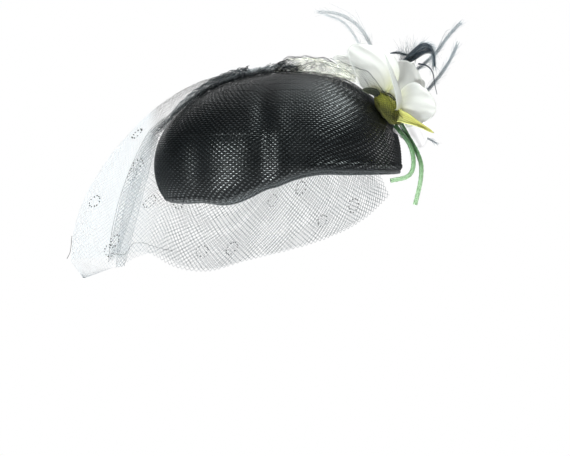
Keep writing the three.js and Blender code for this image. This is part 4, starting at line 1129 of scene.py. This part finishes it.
def make_stem(name, along, around, route):
    """A stem with a strip wound round it, and a hollow end."""
    line = through([calyx_point(along, around, 1.15), *route], 150)
    ahead, a, b = frames(line)
    far, turn = distance(line)[:, None], circle(STEM_SIDES)
    lap = (turn / (2 * np.pi) + far / WRAP_PITCH) % 1
    wrap = 0.16 * lap ** 3 - 0.05 + 0.05 * np.sin(far * 1.1) + 0.04 * np.sin(3 * turn)

    def ring(k, r):
        around = np.cos(turn)[:, None] * a[k] + np.sin(turn)[:, None] * b[k]
        return line[k] + np.reshape(r, (-1, 1)) * around

    rings = [ring(k, STEM_RADIUS + wrap[k] - 0.05) for k in range(len(line))]
    rings.append(ring(-1, STEM_BORE + 0.25) + ahead[-1] * 0.12)
    rings += [ring(k, STEM_BORE) for k in BORE_RINGS]
    # Along the stem the green goes from dark at the calyx to pale at its end; the hollow end's inner rings
    # are painted darker the deeper they lie, a painted shade inside the bore.
    shade = np.append(np.clip(far / far[-1] * 1.35 - 0.05, 0, 1), [0.8, 0.5, 0.2, 0.0])
    far = np.append(far, [far[-1]] * 4)[:, None]
    shape = Shape()
    shape.add(rings, [grid_faces(len(rings), STEM_SIDES, True),
                      *end_caps(STEM_SIDES, (len(rings) - 1) * STEM_SIDES)],
              np.repeat(shade, STEM_SIDES), together(turn / (2 * np.pi), far))
    shape.piece(name + "_wrap", STEM, "stem", [name], wrap=1.0)


# ---- Feathers: a quill with barbs that sweep forward from both of its sides ----

FEATHERS = {  # root along and round the calyx, half-width, and the way to the tip
    "feather_arch": (-0.35, -95, 2.2, [
        (27, 85.2, 120.3), (26, 75.3, 141.2), (26, 63.4, 152.1), (27, 49.5, 157.9), (28, 34.7, 158.9)]),
    "feather_arch_small": (-0.6, -85, 1.4, [
        (23, 75.4, 122.6), (21, 65.5, 141.5), (20, 55.6, 151.5), (20, 41.7, 157)]),
    "feather_hook": (-0.1, -80, 2.6, [
        (26, 107, 105.6), (24, 118.9, 118.5), (24, 128.8, 128.5), (25, 137.7, 126.4), (26, 140.6, 109.5)]),
    "feather_long": (0.08, -96, 2.1, [
        (21, 115.1, 97.9), (19, 130.1, 110.9), (18, 143, 122.9), (16, 154.1, 137.9), (14, 165.1, 150)]),
    "feather_back": (0.3, -80, 2.1, [
        (25, 118.9, 79.9), (24, 132.8, 86.8), (23, 146.7, 102.7), (22, 155.7, 116.7), (22, 161.7, 129.6)]),
    "feather_low": (0.7, -135, 1.2, [
        (26, 105, 51.1), (23, 118, 50.2), (22, 131.9, 45.3), (22, 143.3, 39.3)]),
}
ARCH, HOOK, PLAIN = (0.6, 0.1, 0.34), (0.1, 0.9, 0.14), (0.1, 0.2, 0.2)  # pale, vane, space between barbs
BARBS_FROM, LOW_BARBS_FROM, LOOSE_BARBS = 0.22, 0.45, 0.12
HOOK_OVER = np.array([(25, 112, 115), (24, 121, 124), (24, 128.8, 129.7), (25, 136, 129),
                      (25, 140.6, 122), (26, 142, 111)])
HOOK_UNDER = np.array([(25, 112, 111), (24, 122, 116), (24, 131, 121.5), (25, 137, 122),
                       (25, 140.4, 117), (26, 140.6, 109)])
WISPS = [  # hairs, a drooping barb and a stub among the feathers: the way, radius, shade
    ([(27, 84, 119), (26, 78, 139), (26, 66, 156), (26, 45, 167)], 0.16, 0.7),
    ([(26, 86, 118), (25, 80, 136), (25, 73, 152), (25, 68, 162)], 0.14, 0.6),
    ([(24, 112, 108), (23, 117, 119), (22, 121, 131), (22, 122, 139)], 0.16, 0.6),
    ([(24, 113, 108), (23, 120, 120), (22, 118, 132), (22, 116, 138)], 0.13, 0.8),
    ([(25, 126, 112), (25, 134, 110), (26, 139, 104), (26, 141, 93), (26, 143, 84)], 0.8, 0.2),
    ([(20, 140, 119), (19, 146, 130), (18, 151, 141), (17, 155, 144)], 0.3, 0.4),
]
WISP_POINTS, HOOK_HAIRS, FLUFF_HAIRS = 26, 120, 70
DART, DART_HALF = [(25, 98, 121), (25, 106, 122), (25, 113, 120.5), (25, 118, 120.4)], 1.7


def feather(shape, line, half, barbs_from, loose, pale, vane, every):
    """A quill along the line, with a narrow vane and barbs from the given share of its length to its tip."""
    ahead, _, _ = frames(line)
    across = unit(np.cross(ahead, LEFT))
    t = np.linspace(0, 1, len(line))
    tube(shape, line, mix(0.32, 0.05, t ** 0.8), 6, 0.1 + pale + 0.45 * t)
    wide = across * (smooth(barbs_from, barbs_from + 0.15, t) * (1 - 0.75 * t) * half * vane + 0.05)[:, None]
    shape.add(np.stack([line + wide, line + 0.12 * LEFT, line - wide, line - 0.12 * LEFT], 1),
              [grid_faces(len(line), 4, True), *end_caps(4, 4 * (len(line) - 1))],
              np.repeat(0.12 + pale + 0.4 * t, 4))
    count = int(distance(line)[-1] * (1 - barbs_from) / every)
    s = np.linspace(0, 1, 4)[:, None]
    for k in range(count):
        at = barbs_from + (1 - barbs_from) * (k + rng.uniform(0, 0.6)) / count
        i = min(len(line) - 2, int(at * (len(line) - 1)))
        grow = smooth(barbs_from, barbs_from + 0.25, at) * (1 - 0.35 * at)
        for side in (1, -1):
            stray = rng.random() < loose
            reach = half * (grow + 0.15) * rng.uniform(1.4, 4.0) * (1.4 if stray else 1.0)
            tilt = rng.uniform(-0.2, 0.2) * (2 if stray else 1)
            sweep = mix(rng.uniform(0.7, 1.1), 1.1 if stray else 1.45, s)
            path = line[i] + reach * s * (side * across[i] * np.cos(sweep) + ahead[i] * np.sin(sweep))
            path = path + LEFT * (reach * s * tilt + 0.25 * side * s)
            tube(shape, path, mix(0.11, 0.05, s[:, 0]), 3,
                 np.clip(0.3 + pale + 0.9 * s[:, 0] * rng.uniform(0.5, 1.1), 0, 1))


def hair(shape, line, foot, tip, sides, shade):
    """A hair that thins from one radius to the other."""
    tube(shape, line, mix(foot, tip, np.linspace(0, 1, len(line))), sides, shade)


def make_feathers():
    for name, (along, around, half, via) in FEATHERS.items():
        shape = Shape()
        kind = ARCH if "arch" in name else HOOK if "hook" in name else PLAIN
        feather(shape, through([calyx_point(along, around, 0.9), *via], 60), half,
                LOW_BARBS_FROM if name == "feather_low" else BARBS_FROM, LOOSE_BARBS, *kind)
        shape.piece(name + "_vane", PLUME, "feather", [name])
    shape = Shape()
    for points, radius, tone in WISPS:
        hair(shape, through(points, WISP_POINTS), radius, radius * 0.3, 4, tone)
    for _ in range(HOOK_HAIRS):
        line = through(mix(HOOK_UNDER, HOOK_OVER, rng.uniform(-0.15, 1.1)), WISP_POINTS)
        line = line[rng.integers(0, 9):WISP_POINTS - rng.integers(0, 11)] + LEFT * rng.uniform(-1.5, 1.5)
        hair(shape, line, 0.26, 0.08, 3, rng.uniform(0.0, 0.45))
    for _ in range(FLUFF_HAIRS):
        foot = np.array([24, rng.uniform(108, 124), rng.uniform(112, 120)])
        lean, reach = rng.uniform(-0.5, 0.35), rng.uniform(7, 19)
        line = through([foot, foot + [0, reach * (0.3 + lean) * 0.5, reach * 0.5],
                        foot + [rng.uniform(-2, 2), reach * (lean + 0.1), reach]], 12)
        hair(shape, line, 0.13, 0.05, 3, np.linspace(0.35, 0.95, 12))
    feather(shape, through(DART, 20), DART_HALF, 0.05, 0.05, -0.1, 0.4, 0.2)
    shape.piece("feather_wisps", PLUME, "feather")


# ---- Camera, light and floor, in metres ----

CAMERA_PLACE, CAMERA_LENS = (2.6, 0.0046, -0.0377), 178.5
FLOOR_HEIGHT, FLOOR_RINGS, FLOOR_SIDES, FLOOR_SAG = -0.42, (0.4, 0.8, 1.2), 64, 0.002
LIGHTS = {  # place, target, size, power, colour
    "front_softbox": ((1.3, -0.92, -0.82), (0.05, -0.05, 0.02), (1.4, 1.0), 225, (0.92, 1.0, 1.0)),
    "upper_softbox": ((0.2, 0.72, 1.5), (0.06, 0.05, 0.08), (1.3, 1.1), 52, (0.90, 1.0, 1.0)),
    "top_softbox": ((0.0, -0.2, 1.7), (0, 0, 0.05), (1.2, 1.2), 4, WHITE),
    "far_softbox": ((-1.3, -0.25, 0.85), (-0.05, 0.0, 0.03), (1.2, 1.2), 11, WHITE),
    "back_softbox": ((-0.15, 1.5, -0.55), (0.04, 0.1, 0.05), (1.2, 1.2), 15, WHITE),
}


def make_camera():
    lens = bpy.data.cameras.new("photo_view")
    lens.lens, lens.sensor_width, lens.clip_end = CAMERA_LENS, 36, 50
    camera = link("photo_view", lens)
    camera.location = CAMERA_PLACE
    camera.rotation_euler = (math.radians(90), 0, math.radians(90))
    bpy.context.scene.camera = camera


def make_world():
    """White behind the object; as a light it is bright above and behind, dim in front, and dimmer
    still where it would be mirrored."""
    world = bpy.data.worlds.new("white_studio")
    bpy.context.scene.world = world
    bpy.context.scene.view_settings.view_transform = "Standard"
    world.use_nodes = True
    w = Nodes(world.node_tree)
    path = w.node("LightPath").node.outputs
    across = w.node("SeparateXYZ", w.node("TexCoord", output="Generated"))
    behind = w.range(across, -0.5, 0.45, 1.1, 0.12, interpolation_type="SMOOTHSTEP")
    dimmed = w.range(path["Is Glossy Ray"], 0, 1, 1.0, 0.08)
    lit = w.node("Background", (0.90, 0.96, 1.0), w.math("MULTIPLY", behind, dimmed))
    w.feed(w.tree.nodes["World Output"].inputs["Surface"],
           w.node("MixShader", path["Is Camera Ray"], lit, w.node("Background", WHITE)))


def make_light(name, place, target, size, power, colour):
    made = bpy.data.lights.new(name, "AREA")
    made.shape = "RECTANGLE"
    made.size, made.size_y = size
    made.energy, made.color = power, colour
    light = link(name, made)
    light.location, light.visible_camera = place, False
    light.rotation_euler = (Vector(target) - Vector(place)).to_track_quat("-Z", "Y").to_euler()


def make_floor():
    m = Look("pale_floor", Roughness=0.8)
    pale = m.ramp(m.noise(3), (0.3, (0.80, 0.80, 0.80)), (0.7, (0.83, 0.83, 0.83)))
    reach, turn = np.array(FLOOR_RINGS)[:, None], circle(FLOOR_SIDES)
    points = together(reach * np.cos(turn), reach * np.sin(turn), FLOOR_HEIGHT - FLOOR_SAG * reach)
    points = points.reshape(-1, 3)
    faces = grid_faces(len(FLOOR_RINGS), FLOOR_SIDES, True)[:, [0, 3, 2, 1]].tolist()
    faces += cone(np.arange(FLOOR_SIDES), len(points)).tolist()
    mesh = bpy.data.meshes.new("floor")
    mesh.from_pydata([*points.tolist(), (0, 0, FLOOR_HEIGHT)], [], faces)
    mesh.materials.append(m.done(pale, m.noise(40), 0.0005))
    link("floor", mesh)


make_camera()
make_world()
for name, values in LIGHTS.items():
    make_light(name, *values)
make_floor()

make_crown()
make_binding()
veil, dots = make_veil()
make_puff()
make_tack()
make_calyx()
make_calyx_net()
make_petals()
for name, values in STEMS.items():
    make_stem(name, *values)
make_feathers()
